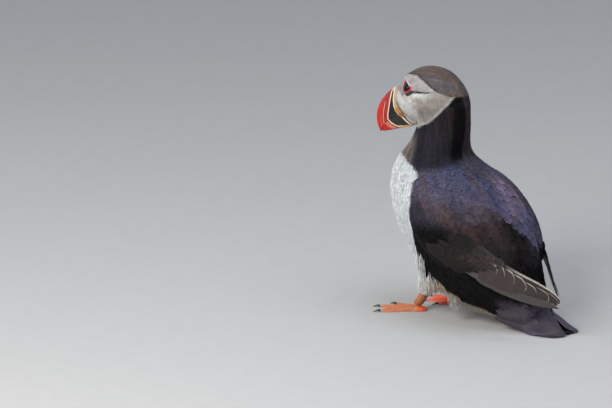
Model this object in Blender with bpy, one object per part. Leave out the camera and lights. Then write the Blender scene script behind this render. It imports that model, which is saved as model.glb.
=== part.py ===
"""Atlantic puffin, life size, standing with its head turned a little to its left.

The bird faces -Y, its left side is +X and +Z is up. The origin is on the floor, in the middle of
the whole bird's box. Body, head and wings are lofts between a few named stations, in millimetres.
"""

import math
from collections import namedtuple

import bmesh
import bpy
from mathutils import Matrix, Vector
from mathutils.bvhtree import BVHTree

MM = 0.001
GAP = 0.3
LEFT, RIGHT = 1, -1
SIDES = {"left": LEFT, "right": RIGHT}

# Outer shape of the feathered body, from inside the head down to the tail's root: the middle of
# each cross-section, its half width, and how far the back and the belly lie from that middle.
Station = namedtuple("Station", "y z half_width back belly")
BODY = [
    Station(-2, 189, 21.3, 29.9, 13),
    Station(-2, 168, 21, 30.6, 15.4),
    Station(-2, 150, 25.3, 27.6, 26),
    Station(2, 132, 32.1, 25, 56),
    Station(15, 108, 43, 38.4, 63),
    Station(37, 82, 46.5, 46, 64),
    Station(57, 58, 43.5, 45, 57),
    Station(77, 40, 36, 35, 41),
    Station(98, 25, 25, 19, 23),
    Station(118, 14, 14, 6, 8),
]
NECK_TOP, NECK_BASE, RUMP_START, TAIL_ROOT = 0.1, 3.1, 6.9, 9.0
PARTING = 0.015
BODY_ROUNDNESS = 2.15
BODY_SEGMENTS, CUTTER_SEGMENTS = 30, 48
NECK_RINGS, TRUNK_RINGS, RUMP_RINGS, CUTTER_RINGS = 11, 17, 8, 44
SURFACE_RINGS, SURFACE_SEGMENTS = 120, 96

# The head, along the line from its back to the bill's base, which points down at HEAD_PITCH.
HeadStation = namedtuple("HeadStation", "p top bottom half_width")
HEAD_CENTRE = Vector((0, -7.5, 190))
HEAD_YAW = math.radians(12)
HEAD_PITCH = math.radians(33)
HEAD = [
    HeadStation(-28.9, -0.1, -12.4, 4.9),
    HeadStation(-26.5, 6.7, -21, 8.6),
    HeadStation(-19, 18.2, -22, 18),
    HeadStation(-6, 27.2, -23, 21.5),
    HeadStation(8, 29.2, -22, 20),
    HeadStation(19, 28, -19, 15.5),
    HeadStation(27.4, 25.2, -15.5, 9.3),
]
HEAD_ROUNDNESS = 2.1
HEAD_SEGMENTS, HEAD_RINGS = 24, 15
EYE_PLACE = (10.5, 16.8)
EYE_RADIUS = 4.6
EYE_SHOWS = 1.3

# The bill starts behind a curved edge: on its sides the face reaches further forward.
BILL_BASE, BILL_TIP = 28.2, 66.1
EDGE_BULGE, EDGE_MIDDLE, EDGE_HALF_HEIGHT = 5, 8, 17
CULMEN_RISE, TIP_LEVEL = 27.9, -2.8
CULMEN_POWER = 2.05
CHIN_LEVEL, CHIN_POWER = -15.1, 1.0
MOUTH_LEVEL, MOUTH_ARCH = 0.6, 2.4
BILL_HALF_WIDTH, BILL_TIP_HALF_WIDTH, BILL_TAPER = 8.6, 1.5, 0.8
EDGE_WIDTH_SHARE, FULL_WIDTH_HEIGHT = 0.25, 8
BILL_RISE_POWER, BILL_SIDE_POWER = 0.95, 0.8
UPPER_SHARE, LOWER_SHARE = 0.995, 0.93
BILL_RINGS, BILL_SEGMENTS = 13, 16

# The wings: middle line of the folded arm with its coverts, and of the bare flight feathers,
# whose upper edge may lean inwards over the rump.
WingStation = namedtuple("WingStation", "x y z half_chord thickness")
ARM = [
    WingStation(37, 5, 124, 12, 3.0),
    WingStation(49, 14, 112, 25, 6.5),
    WingStation(55, 32, 97, 34, 8.5),
    WingStation(56, 55, 81, 35, 8.5),
    WingStation(48, 78, 68, 27, 7.0),
    WingStation(39, 95, 60, 13, 3.4),
]
FLIGHT = {
    "left": [
        WingStation(43, 64, 67, 10, 3.4),
        WingStation(43, 84, 60.5, 12, 3.2),
        WingStation(38, 106, 52, 11.5, 2.8),
        WingStation(28, 131, 40, 7.5, 2.2),
        WingStation(17, 153, 29.5, 2.0, 1.3),
    ],
    "right": [
        WingStation(43, 60, 68, 10, 3.4),
        WingStation(40, 79, 62, 11.5, 3.2),
        WingStation(32, 95, 51, 10.5, 2.8),
        WingStation(22, 112, 37.5, 7, 2.2),
        WingStation(12, 128, 26, 2.0, 1.3),
    ],
}
FLIGHT_LEAN = {"left": 0, "right": math.radians(40)}
ARM_RINGS, ARM_STEPS = 14, 10
FLIGHT_RINGS, FLIGHT_STEPS = 11, 6
ARM_CAMBER, FLIGHT_CAMBER = 52, 70
FEATHER_EDGE = 1.2
CUTTER_DEPTH, CUTTER_END = 1, 0.03

# The tail, a short fan that leans to the bird's right and whose end lies flat on the floor.
TAIL_START, TAIL_END = 112, 146
TAIL_ROOT_X, TAIL_LEAN = -3, -6
TAIL_ROOT_HALF_WIDTH, TAIL_END_HALF_WIDTH = 16.5, 11
TAIL_ROOT_LEVEL, TAIL_ROOT_THICKNESS, TAIL_EDGE_THICKNESS = 10, 9.5, 1.6
TAIL_FLAT = 9
TAIL_ROUNDING = 4
TAIL_THINNING, TAIL_SLOPE = 0.7, 1.2
TAIL_RINGS, TAIL_STEPS = 9, 10

# The legs. Each foot turns to the bird's left, and the left one is set further forward.
Leg = namedtuple("Leg", "foot ankle knee turn")
LEGS = {
    "left": Leg(Vector((24, -5, 0)), Vector((22, 9, 27)), Vector((23, 16, 42)), 27),
    "right": Leg(Vector((-24, 9, 0)), Vector((-22, 22, 27)), Vector((-22, 30, 38)), 36),
}
SHANK_LIFT = 5.4
SHANK_HALF_WIDTH, SHANK_HALF_DEPTH = 2.3, 3.1
SHANK_SWELL = [1.1, 0.95, 0.9, 0.9, 0.92, 0.98, 1.08, 1.15]
CUFF_SHARE = 0.5
CUFF_RADIUS, THIGH_RADIUS, THIGH_SWELL = 5.6, 15, 0.7
THIGH_RINGS, THIGH_SEGMENTS = 8, 20
SHEATH_BEYOND = 0.3

# Each toe: the angle from the middle one towards the outer side of the foot, length and half width.
Toe = namedtuple("Toe", "angle length half_width")
TOES = {
    "inner": Toe(-27, 25, 2.2),
    "middle": Toe(-1, 34, 2.4),
    "outer": Toe(24, 33, 2.2),
}
TOE_HEIGHT, TOE_TIP_HEIGHT, WEB_HEIGHT = 4.6, 2.6, 0.9
HEEL_RADIUS, HEEL_HEIGHT, HEEL_REACH = 5.2, 4.8, 8.2
HEEL_STEPS, HEEL_FALL, RIM_SHARE = 8, 0.5, 0.6
WEB_NOTCH = 0.17
TOE_EDGE_ANGLE = 4.5
FOOT_SHARES = (0.12, 0.3, 0.48, 0.66, 0.84, 0.96)
CLAW_LENGTH, CLAW_RADIUS = 7.5, 1.25
CLAW_TAPER, CLAW_LEVEL, CLAW_ARCH = 0.85, 1.15, 1.1
CLAW_RINGS, CLAW_SEGMENTS = 5, 8


def clear_scene():
    for old in list(bpy.data.objects):
        bpy.data.objects.remove(old)


def material(name, colour, roughness):
    made = bpy.data.materials.new(name)
    made.use_nodes = True
    shader = made.node_tree.nodes["Principled BSDF"]
    shader.inputs["Base Color"].default_value = (*colour, 1)
    shader.inputs["Roughness"].default_value = roughness
    shader.inputs["Metallic"].default_value = 0
    return made


def spline(stations, t):
    """The stations' fields at t, on a smooth curve that passes through every station."""
    last = len(stations) - 1
    i = min(max(int(t), 0), last - 1)
    f = t - i
    before, start = stations[max(i - 1, 0)], stations[i]
    end, after = stations[i + 1], stations[min(i + 2, last)]
    return type(start)(
        *(
            b + 0.5 * f * (c - a + f * (2 * a - 5 * b + 4 * c - d + f * (3 * (b - c) + d - a)))
            for a, b, c, d in zip(before, start, end, after)
        )
    )


def power(value, exponent):
    """value raised to exponent, with its sign kept."""
    return math.copysign(abs(value) ** exponent, value)


def add_object(name, mesh_builder, look):
    """A named, smooth-shaded object from a bmesh in millimetres, with its faces turned outwards."""
    bmesh.ops.recalc_face_normals(mesh_builder, faces=mesh_builder.faces)
    mesh_builder.transform(Matrix.Scale(MM, 4))
    mesh = bpy.data.meshes.new(name)
    mesh_builder.to_mesh(mesh)
    mesh_builder.free()
    mesh.shade_smooth()
    mesh.materials.append(look)
    made = bpy.data.objects.new(name, mesh)
    bpy.context.scene.collection.objects.link(made)
    return made


def skin_rings(rings):
    """A closed bmesh of quads between rings of points.

    Point k of a ring mirrors point n - 1 - k, so each end is a strip of quads across the ring.
    """
    builder = bmesh.new()
    loops = [[builder.verts.new(point) for point in ring] for ring in rings]
    for one, other in zip(loops, loops[1:]):
        for k in range(len(one)):
            following = (k + 1) % len(one)
            builder.faces.new((one[k], one[following], other[following], other[k]))
    for loop in (loops[0], loops[-1]):
        for k in range(len(loop) // 2 - 1):
            builder.faces.new((loop[k], loop[k + 1], loop[-k - 2], loop[-k - 1]))
    return builder


def helper(made):
    """Marks an object as a cutter, which isn't part of the bird."""
    made.hide_render = True
    made.display_type = "WIRE"
    return made


def cut(body, cutter):
    modifier = body.modifiers.new("cut_" + cutter.name, "BOOLEAN")
    modifier.operation = "DIFFERENCE"
    modifier.object = cutter
    modifier.solver = "EXACT"


# Body


def body_frame(t):
    """Middle of the body's cross-section at t, its station, and the direction of the back."""
    here = spline(BODY, t)
    step = 0.05
    low, high = max(t - step, 0), min(t + step, len(BODY) - 1)
    before, after = spline(BODY, low), spline(BODY, high)
    along = Vector((0, after.y - before.y, after.z - before.z)).normalized()
    return Vector((0, here.y, here.z)), here, Vector((0, -along.z, along.y))


def body_ring(t, grow=0.0, segments=BODY_SEGMENTS):
    middle, here, back = body_frame(t)
    ring = []
    for k in range(segments):
        angle = math.tau * ((k + 0.5) / segments - 0.25)
        across = power(math.cos(angle), 2 / BODY_ROUNDNESS)
        rise = power(math.sin(angle), 2 / BODY_ROUNDNESS)
        depth = (here.back if rise > 0 else here.belly) + grow
        ring.append(middle + Vector((across * (here.half_width + grow), 0, 0)) + back * rise * depth)
    return ring


def body_length(start, end, rings, name, look, grow=0.0, segments=BODY_SEGMENTS):
    """The body between two cross-sections."""
    steps = [start + (end - start) * k / (rings - 1) for k in range(rings)]
    return add_object(name, skin_rings([body_ring(t, grow, segments) for t in steps]), look)


def body_surface():
    """A search tree of the body's surface, which the wings are laid on."""
    end = len(BODY) - 1
    steps = [end * k / (SURFACE_RINGS - 1) for k in range(SURFACE_RINGS)]
    builder = skin_rings([body_ring(t, 0, SURFACE_SEGMENTS) for t in steps])
    bmesh.ops.recalc_face_normals(builder, faces=builder.faces)
    tree = BVHTree.FromBMesh(builder)
    builder.free()
    return tree


# Head and bill


def head_point(p, side, q):
    """A point from the head's own axes: p towards the bill, side to its left, q up."""
    forward = Vector((math.sin(HEAD_YAW), -math.cos(HEAD_YAW), 0))
    left = Vector((math.cos(HEAD_YAW), math.sin(HEAD_YAW), 0))
    up = Vector((0, 0, 1))
    along = forward * math.cos(HEAD_PITCH) - up * math.sin(HEAD_PITCH)
    rise = forward * math.sin(HEAD_PITCH) + up * math.cos(HEAD_PITCH)
    return HEAD_CENTRE + along * p + left * side + rise * q


def edge_bulge(q):
    """How far the face's front edge lies ahead of its top, at height q."""
    return EDGE_BULGE * (1 - ((q - EDGE_MIDDLE) / EDGE_HALF_HEIGHT) ** 2)


def head_ring(t, grow=0.0):
    here = spline(HEAD, t)
    middle = (here.top + here.bottom) / 2
    half_height = (here.top - here.bottom) / 2 + grow
    nearness = max(t - (len(HEAD) - 3), 0) / 2
    ring = []
    for k in range(HEAD_SEGMENTS):
        angle = math.tau * ((k + 0.5) / HEAD_SEGMENTS - 0.25)
        side = (here.half_width + grow) * power(math.cos(angle), 2 / HEAD_ROUNDNESS)
        q = middle + half_height * power(math.sin(angle), 2 / HEAD_ROUNDNESS)
        ring.append((here.p + edge_bulge(q) * nearness**2, side, q))
    return ring


def head_rings(grow=0.0):
    last = len(HEAD) - 1
    rings = [head_ring(last * k / (HEAD_RINGS - 1), grow) for k in range(HEAD_RINGS)]
    if grow:
        rings[0] = [(p - grow, side, q) for p, side, q in rings[0]]
        rings[-1] = [(p + grow, side, q) for p, side, q in rings[-1]]
    return [[head_point(*point) for point in ring] for ring in rings]


def eye_centre(side):
    p, q = EYE_PLACE
    return head_point(p, side * (head_half_width_at(p, q) + EYE_SHOWS - EYE_RADIUS), q)


def head_half_width_at(p, q):
    """How far the head's side lies from its middle plane, at p and q."""
    low, high = 0.0, float(len(HEAD) - 1)
    for _ in range(30):
        t = (low + high) / 2
        low, high = (t, high) if spline(HEAD, t).p < p else (low, t)
    here = spline(HEAD, low)
    share = (q - (here.top + here.bottom) / 2) / ((here.top - here.bottom) / 2)
    return here.half_width * (1 - min(abs(share), 1) ** HEAD_ROUNDNESS) ** (1 / HEAD_ROUNDNESS)


def make_ball(name, centre, radius, look, segments=16, rings=10):
    builder = bmesh.new()
    bmesh.ops.create_uvsphere(
        builder,
        u_segments=segments,
        v_segments=rings,
        radius=radius,
        matrix=Matrix.Translation(centre),
    )
    return add_object(name, builder, look)


def culmen(share):
    """Height of the bill's upper edge, share of the way from its base to its tip."""
    return TIP_LEVEL + CULMEN_RISE * max(1 - share**CULMEN_POWER, 0) ** (1 / CULMEN_POWER)


def mouth(share):
    """Height of the line between the two halves of the bill."""
    straight_line = MOUTH_LEVEL + (TIP_LEVEL - MOUTH_LEVEL) * share**3
    return straight_line + MOUTH_ARCH * math.sin(math.pi * share)


def chin(share):
    """Height of the bill's lower edge."""
    return CHIN_LEVEL + (TIP_LEVEL - CHIN_LEVEL) * share**CHIN_POWER


def bill_half(name, end, edge, look):
    """One half of the bill: edge(share) is its ridge, and its flat face lies along the mouth."""
    rings = []
    for k in range(BILL_RINGS):
        share = end * math.sin(math.pi / 2 * k / (BILL_RINGS - 1))
        flat = mouth(share) + math.copysign(GAP / 2, edge(0) - mouth(0))
        height = edge(share) - flat
        width = BILL_HALF_WIDTH + (BILL_TIP_HALF_WIDTH - BILL_HALF_WIDTH) * share**BILL_TAPER
        fullness = min(abs(height) / FULL_WIDTH_HEIGHT, 1)
        width *= EDGE_WIDTH_SHARE + (1 - EDGE_WIDTH_SHARE) * fullness
        ring = []
        for j in range(BILL_SEGMENTS):
            angle = math.pi * j / (BILL_SEGMENTS - 1)
            q = flat + height * math.sin(angle) ** BILL_RISE_POWER
            p = BILL_BASE + edge_bulge(q) * (1 - share) + (BILL_TIP - BILL_BASE) * share
            ring.append(head_point(p, width * power(math.cos(angle), BILL_SIDE_POWER), q))
        rings.append(ring)
    return add_object(name, skin_rings(rings), look)


def make_head(looks):
    head = add_object("head", skin_rings(head_rings()), looks["face"])
    for name, side in SIDES.items():
        make_ball("eye_" + name, eye_centre(side), EYE_RADIUS, looks["eye"])
        socket = make_ball("socket_" + name, eye_centre(side), EYE_RADIUS + GAP, looks["eye"])
        cut(head, helper(socket))
    bill_half("upper_bill", UPPER_SHARE, culmen, looks["bill"])
    bill_half("lower_bill", LOWER_SHARE, chin, looks["bill"])
    return helper(add_object("head_cutter", skin_rings(head_rings(GAP)), looks["face"]))


# Wings


def plate_frame(stations, t, lean):
    """Station of a wing at t, with the directions across it and outwards from it."""
    here = spline(stations, t)
    step = 0.05
    before = spline(stations, max(t - step, 0))
    after = spline(stations, min(t + step, len(stations) - 1))
    along = Vector((after.x - before.x, after.y - before.y, after.z - before.z)).normalized()
    across = along.cross(Vector((1, 0, 0))).normalized()
    outwards = across.cross(along).normalized()
    leaning = across * math.cos(lean) + outwards * math.sin(lean)
    return here, leaning, leaning.cross(along).normalized()


def plate_point(stations, t, share, camber, lean=0.0):
    """A point on a wing's curved outer face, and the way outwards at the wing's middle line.

    share is how much of its half chord the point lies from that line.
    """
    here, across, outwards = plate_frame(stations, t, lean)
    angle = share * here.half_chord / camber
    aside, fall = camber * math.sin(angle), camber * (math.cos(angle) - 1)
    return Vector((here.x, here.y, here.z)) + across * aside + outwards * fall, outwards


def mirrored(point, side):
    return Vector((point.x * side, point.y, point.z))


def edge_fall(share, sharpness=3.0):
    """1 in the middle, falling smoothly to 0 at -1 and 1."""
    return max(1 - abs(share) ** sharpness, 0)


def arm_ring(surface, t, side, lift, extra):
    """One cross-section of the folded arm, lying on the body's surface."""
    here = spline(ARM, t)
    inner, outer = [], []
    for k in range(ARM_STEPS + 1):
        share = -1 + 2 * k / ARM_STEPS
        share_grown = share * (1 + extra / here.half_chord)
        point, _ = plate_point(ARM, t, share_grown, ARM_CAMBER)
        near, normal, _, _ = surface.find_nearest(point)
        thickness = FEATHER_EDGE + (here.thickness - FEATHER_EDGE) * edge_fall(share) + extra
        inner.append(mirrored(near + normal * lift, side))
        outer.append(mirrored(near + normal * (lift + thickness), side))
    return inner + outer[::-1]


def make_wing(name, side, surface, body_cutter, looks):
    last = len(ARM) - 1
    steps = [last * k / (ARM_RINGS - 1) for k in range(ARM_RINGS)]
    rings = [arm_ring(surface, t, side, GAP, 0) for t in steps]
    add_object(f"wing_{name}_arm", skin_rings(rings), looks["back"])
    steps = [-CUTTER_END, *steps, last + CUTTER_END]
    rings = [arm_ring(surface, t, side, -CUTTER_DEPTH, CUTTER_DEPTH + 2 * GAP) for t in steps]
    arm_cutter = helper(add_object(f"arm_{name}_cutter", skin_rings(rings), looks["back"]))
    rings = []
    for k in range(FLIGHT_RINGS):
        t = (len(FLIGHT[name]) - 1) * k / (FLIGHT_RINGS - 1)
        here = spline(FLIGHT[name], t)
        inner, outer = [], []
        for j in range(FLIGHT_STEPS + 1):
            share = -1 + 2 * j / FLIGHT_STEPS
            point, outwards = plate_point(FLIGHT[name], t, share, FLIGHT_CAMBER, FLIGHT_LEAN[name])
            half = (FEATHER_EDGE + (here.thickness - FEATHER_EDGE) * edge_fall(share)) / 2
            inner.append(mirrored(point - outwards * half, side))
            outer.append(mirrored(point + outwards * half, side))
        rings.append(inner + outer[::-1])
    flight = add_object(f"wing_{name}_flight", skin_rings(rings), looks["flight"])
    cut(flight, body_cutter)
    cut(flight, arm_cutter)


# Tail


def make_tail(body_cutter, looks):
    rings = []
    for k in range(TAIL_RINGS):
        share = k / (TAIL_RINGS - 1)
        half_width = TAIL_ROOT_HALF_WIDTH + (TAIL_END_HALF_WIDTH - TAIL_ROOT_HALF_WIDTH) * share
        thickness = TAIL_ROOT_THICKNESS + (TAIL_EDGE_THICKNESS - TAIL_ROOT_THICKNESS) * share**TAIL_THINNING
        under, over = [], []
        for j in range(TAIL_STEPS + 1):
            across = -1 + 2 * j / TAIL_STEPS
            reach = TAIL_END - TAIL_ROUNDING * across**2
            y = TAIL_START + (reach - TAIL_START) * share
            to_flat = max(TAIL_END - TAIL_FLAT - y, 0) / (TAIL_END - TAIL_FLAT - TAIL_START)
            level = TAIL_ROOT_LEVEL * to_flat**TAIL_SLOPE
            body = TAIL_EDGE_THICKNESS / 2 + (thickness - TAIL_EDGE_THICKNESS / 2) * (1 - across**2)
            x = across * half_width + TAIL_ROOT_X + TAIL_LEAN * share
            under.append(Vector((x, y, level)))
            over.append(Vector((x, y, level + body)))
        rings.append(under + over[::-1])
    tail = add_object("tail", skin_rings(rings), looks["back"])
    cut(tail, body_cutter)


# Legs


def tube(name, path, radii, look, segments=14):
    """A tube along path whose elliptic rings have the half widths and half depths in radii."""
    rings = []
    for k, (point, (half_width, half_depth)) in enumerate(zip(path, radii)):
        before, after = path[max(k - 1, 0)], path[min(k + 1, len(path) - 1)]
        along = (after - before).normalized()
        side = Vector((1, 0, 0))
        side = (side - along * side.dot(along)).normalized()
        front = along.cross(side)
        rings.append(
            [
                point
                + side * half_width * math.cos(math.tau * j / segments)
                + front * half_depth * math.sin(math.tau * j / segments)
                for j in range(segments)
            ]
        )
    return add_object(name, skin_rings(rings), look)


def foot_direction(leg, angle):
    """The direction on the floor at an angle outwards from the foot's middle, in degrees."""
    outwards = LEFT if leg.foot.x > 0 else RIGHT
    heading = math.radians(leg.turn + outwards * angle)
    return Vector((math.sin(heading), -math.cos(heading), 0))


def web_reach(angle):
    """How far the foot reaches from its joint at this angle, with a hollow between the toes."""
    toes = list(TOES.values())
    for one, other in zip(toes, toes[1:]):
        if angle <= other.angle:
            share = (angle - one.angle) / (other.angle - one.angle)
            straight = one.length + (other.length - one.length) * share
            return straight * (1 - WEB_NOTCH * math.sin(math.pi * share))
    return toes[-1].length


def foot_height(reach, angle):
    """Thickness of the foot: high along each toe, and thin in the web between them."""
    height = WEB_HEIGHT
    for toe in TOES.values():
        aside = reach * math.sin(math.radians(angle - toe.angle))
        share = min(reach / toe.length, 1)
        crest = TOE_HEIGHT + (TOE_TIP_HEIGHT - TOE_HEIGHT) * share
        height = max(height, crest * max(1 - (aside / toe.half_width) ** 2, 0) ** 0.5)
    heel = HEEL_HEIGHT * max(1 - (reach / HEEL_REACH) ** 2, 0) ** 0.5
    return max(height, heel)


def make_foot(name, leg, looks):
    """The toes and web as one fan, flat underneath, with its centre at the toes' joint."""
    toes = list(TOES.values())
    edge = TOE_EDGE_ANGLE
    angles = [toes[0].angle - edge, toes[0].angle, toes[0].angle + edge]
    for one, other in zip(toes, toes[1:]):
        angles += [(one.angle + other.angle) / 2, other.angle - edge, other.angle, other.angle + edge]
    step = (360 - (angles[-1] - angles[0])) / (HEEL_STEPS + 1)
    heel_angles = [angles[-1] + step * (k + 1) for k in range(HEEL_STEPS)]
    builder = bmesh.new()

    def place(reach, angle, height):
        return builder.verts.new(leg.foot + foot_direction(leg, angle) * reach + Vector((0, 0, height)))

    upper, lower = [], []
    for angle in angles + heel_angles:
        in_fan = angle <= angles[-1]
        reach = web_reach(max(angle, toes[0].angle)) if in_fan else HEEL_RADIUS
        if in_fan:
            heights = [foot_height(reach * share, angle) for share in FOOT_SHARES]
        else:
            heights = [HEEL_HEIGHT * (1 - HEEL_FALL * share**2) for share in FOOT_SHARES]
        line = [place(reach * s, angle, h) for s, h in zip(FOOT_SHARES, heights)]
        rim = place(reach, angle, min(heights[-1], WEB_HEIGHT) * RIM_SHARE)
        upper.append([*line, rim])
        lower.append(place(reach, angle, 0))
    top = place(0, 0, HEEL_HEIGHT)
    for k in range(len(upper)):
        one, other = upper[k], upper[(k + 1) % len(upper)]
        builder.faces.new((top, one[0], other[0]))
        for j in range(len(one) - 1):
            builder.faces.new((one[j], one[j + 1], other[j + 1], other[j]))
        builder.faces.new((one[-1], lower[k], lower[(k + 1) % len(lower)], other[-1]))
    builder.faces.new(lower)
    return add_object(f"foot_{name}", builder, looks["skin"])


def make_claws(name, leg, looks):
    for toe_name, toe in TOES.items():
        direction = foot_direction(leg, toe.angle)
        aside = Vector((-direction.y, direction.x, 0))
        start = leg.foot + direction * (toe.length + GAP)
        rings = []
        for k in range(CLAW_RINGS):
            share = k / (CLAW_RINGS - 1)
            radius = CLAW_RADIUS * (1 - CLAW_TAPER * share)
            arch = CLAW_ARCH * math.sin(math.pi * share) * (1 - share)
            height = CLAW_RADIUS * CLAW_LEVEL + arch
            middle = start + direction * CLAW_LENGTH * share
            middle.z = max(height * (1 - share) + radius * share, radius)
            rings.append(
                [
                    middle
                    + aside * radius * math.cos(math.tau * j / CLAW_SEGMENTS)
                    + Vector((0, 0, radius * math.sin(math.tau * j / CLAW_SEGMENTS)))
                    for j in range(CLAW_SEGMENTS)
                ]
            )
        add_object(f"claw_{name}_{toe_name}", skin_rings(rings), looks["claw"])


def straight(start, end, count):
    return [start + (end - start) * k / (count - 1) for k in range(count)]


def make_leg(name, leg, body_cutter, looks):
    make_foot(name, leg, looks)
    make_claws(name, leg, looks)
    start = leg.foot + Vector((0, 0, SHANK_LIFT))
    radii = [(SHANK_HALF_WIDTH * s, SHANK_HALF_DEPTH * s) for s in SHANK_SWELL]
    shank = tube(f"shank_{name}", straight(start, leg.ankle, len(radii)), radii, looks["skin"])
    cut(shank, helper(make_ball(f"joint_{name}", leg.foot, HEEL_HEIGHT + GAP, looks["skin"])))
    cut(shank, body_cutter)
    cuff = start + (leg.ankle - start) * CUFF_SHARE
    radii = [
        (CUFF_RADIUS + (THIGH_RADIUS - CUFF_RADIUS) * (k / THIGH_RINGS) ** THIGH_SWELL,) * 2
        for k in range(THIGH_RINGS + 1)
    ]
    path = straight(cuff, leg.knee, len(radii))
    thigh = tube(f"thigh_{name}", path, radii, looks["belly"], THIGH_SEGMENTS)
    cut(thigh, body_cutter)
    beyond = leg.ankle + (leg.ankle - start) * SHEATH_BEYOND
    wide = (SHANK_HALF_WIDTH * SHANK_SWELL[-1] + GAP, SHANK_HALF_DEPTH * SHANK_SWELL[-1] + GAP)
    cut(thigh, helper(tube(f"sheath_{name}", [start, beyond], [wide] * 2, looks["skin"])))


def stand_on_floor():
    """Moves the bird so that the origin is on the floor in the middle of its box."""
    bpy.context.view_layer.update()
    graph = bpy.context.evaluated_depsgraph_get()
    corners = [
        made.matrix_world @ Vector(corner)
        for made in bpy.context.scene.objects
        if not made.hide_render
        for corner in made.evaluated_get(graph).bound_box
    ]
    low = Vector(min(c[axis] for c in corners) for axis in range(3))
    high = Vector(max(c[axis] for c in corners) for axis in range(3))
    shift = Vector((-(low.x + high.x) / 2, -(low.y + high.y) / 2, -low.z))
    for made in bpy.context.scene.objects:
        made.location += shift


def main():
    clear_scene()
    looks = {
        "face": material("grey_face", (0.55, 0.55, 0.54), 0.8),
        "back": material("black_plumage", (0.02, 0.02, 0.028), 0.6),
        "flight": material("flight_feathers", (0.05, 0.045, 0.045), 0.55),
        "belly": material("white_plumage", (0.8, 0.8, 0.78), 0.85),
        "bill": material("bill_horn", (0.8, 0.08, 0.02), 0.35),
        "eye": material("eye", (0.02, 0.012, 0.01), 0.1),
        "skin": material("orange_skin", (0.85, 0.2, 0.04), 0.5),
        "claw": material("claw_horn", (0.02, 0.018, 0.016), 0.4),
    }
    head_cutter = make_head(looks)
    neck = body_length(NECK_TOP, NECK_BASE, NECK_RINGS, "neck", looks["back"])
    cut(neck, head_cutter)
    body_length(NECK_BASE + PARTING, RUMP_START, TRUNK_RINGS, "trunk", looks["belly"])
    body_length(RUMP_START + PARTING, TAIL_ROOT, RUMP_RINGS, "rump", looks["back"])
    cutter_end = TAIL_ROOT + PARTING
    body_cutter = helper(
        body_length(
            NECK_TOP, cutter_end, CUTTER_RINGS, "body_cutter", looks["belly"], GAP, CUTTER_SEGMENTS
        )
    )
    surface = body_surface()
    for name, side in SIDES.items():
        make_wing(name, side, surface, body_cutter, looks)
        make_leg(name, LEGS[name], body_cutter, looks)
    make_tail(body_cutter, looks)
    stand_on_floor()


main()
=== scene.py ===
"""The looks of a life-size Atlantic puffin: skin, plumage, bill, eyes, feet, floor, light and camera.

Lengths are in millimetres in the bird's own frame, in which it faces -Y and its left side is +X.
raw_mesh() turns them into metres in the model's frame.
"""

import math

import bpy
import numpy as np
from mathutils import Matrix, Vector
from mathutils.bvhtree import BVHTree
from mathutils.kdtree import KDTree


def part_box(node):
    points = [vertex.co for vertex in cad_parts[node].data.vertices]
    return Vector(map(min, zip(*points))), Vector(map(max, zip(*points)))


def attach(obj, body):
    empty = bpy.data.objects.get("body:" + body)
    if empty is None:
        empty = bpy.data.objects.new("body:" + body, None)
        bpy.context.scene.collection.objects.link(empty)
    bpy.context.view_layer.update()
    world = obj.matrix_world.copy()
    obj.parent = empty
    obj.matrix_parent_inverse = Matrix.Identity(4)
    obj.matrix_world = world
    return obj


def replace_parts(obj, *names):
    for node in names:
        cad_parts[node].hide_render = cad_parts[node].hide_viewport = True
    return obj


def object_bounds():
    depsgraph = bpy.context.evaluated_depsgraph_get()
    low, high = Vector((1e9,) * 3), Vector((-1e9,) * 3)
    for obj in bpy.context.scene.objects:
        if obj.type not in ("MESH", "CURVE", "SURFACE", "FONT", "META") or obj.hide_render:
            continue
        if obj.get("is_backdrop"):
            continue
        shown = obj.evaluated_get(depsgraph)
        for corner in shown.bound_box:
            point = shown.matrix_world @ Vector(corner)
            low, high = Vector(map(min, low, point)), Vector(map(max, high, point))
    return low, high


MM = 0.001
SIDES = {"left": 1, "right": -1}
random = np.random.default_rng(11)
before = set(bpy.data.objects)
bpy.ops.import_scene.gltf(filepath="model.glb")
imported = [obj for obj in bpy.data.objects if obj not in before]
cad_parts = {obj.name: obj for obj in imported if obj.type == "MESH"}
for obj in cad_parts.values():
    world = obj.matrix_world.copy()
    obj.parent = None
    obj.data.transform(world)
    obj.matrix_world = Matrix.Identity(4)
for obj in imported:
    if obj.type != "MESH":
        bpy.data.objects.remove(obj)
cad_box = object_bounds()

# The bird's frame, read from where the CAD model has its eyes


def node_centre(node):
    low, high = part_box(node)
    return np.array((low + high) / 2) / MM


HEAD_YAW, HEAD_PITCH = math.radians(12), math.radians(33)
HEAD_CENTRE = np.array((0, -7.5, 190))
EYE_P, EYE_SIDE, EYE_Q = 10.5, 18, 16.8
EYE_RADIUS = 4.6
LEVEL_FORWARD = np.array((math.sin(HEAD_YAW), -math.cos(HEAD_YAW), 0))
HEAD_SIDE = np.array((math.cos(HEAD_YAW), math.sin(HEAD_YAW), 0))
UP = np.array((0.0, 0.0, 1.0))
HEAD_P = LEVEL_FORWARD * math.cos(HEAD_PITCH) - UP * math.sin(HEAD_PITCH)
HEAD_Q = LEVEL_FORWARD * math.sin(HEAD_PITCH) + UP * math.cos(HEAD_PITCH)
BETWEEN_EYES = (node_centre("eye_left") + node_centre("eye_right")) / 2
ORIGIN = BETWEEN_EYES - HEAD_P * EYE_P - HEAD_Q * EYE_Q - HEAD_CENTRE


def head_place(p, side, q):
    """Places from the head's own axes: p towards the bill, side to its left, q up."""
    p, side, q = (np.asarray(value)[..., None] for value in (p, side, q))
    return HEAD_CENTRE + p * HEAD_P + side * HEAD_SIDE + q * HEAD_Q


def head_axes(points):
    away = points - HEAD_CENTRE
    return away @ HEAD_P, away @ HEAD_SIDE, away @ HEAD_Q


# Small helpers


def unit(vectors):
    return vectors / np.maximum(np.linalg.norm(vectors, axis=-1, keepdims=True), 1e-9)


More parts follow.
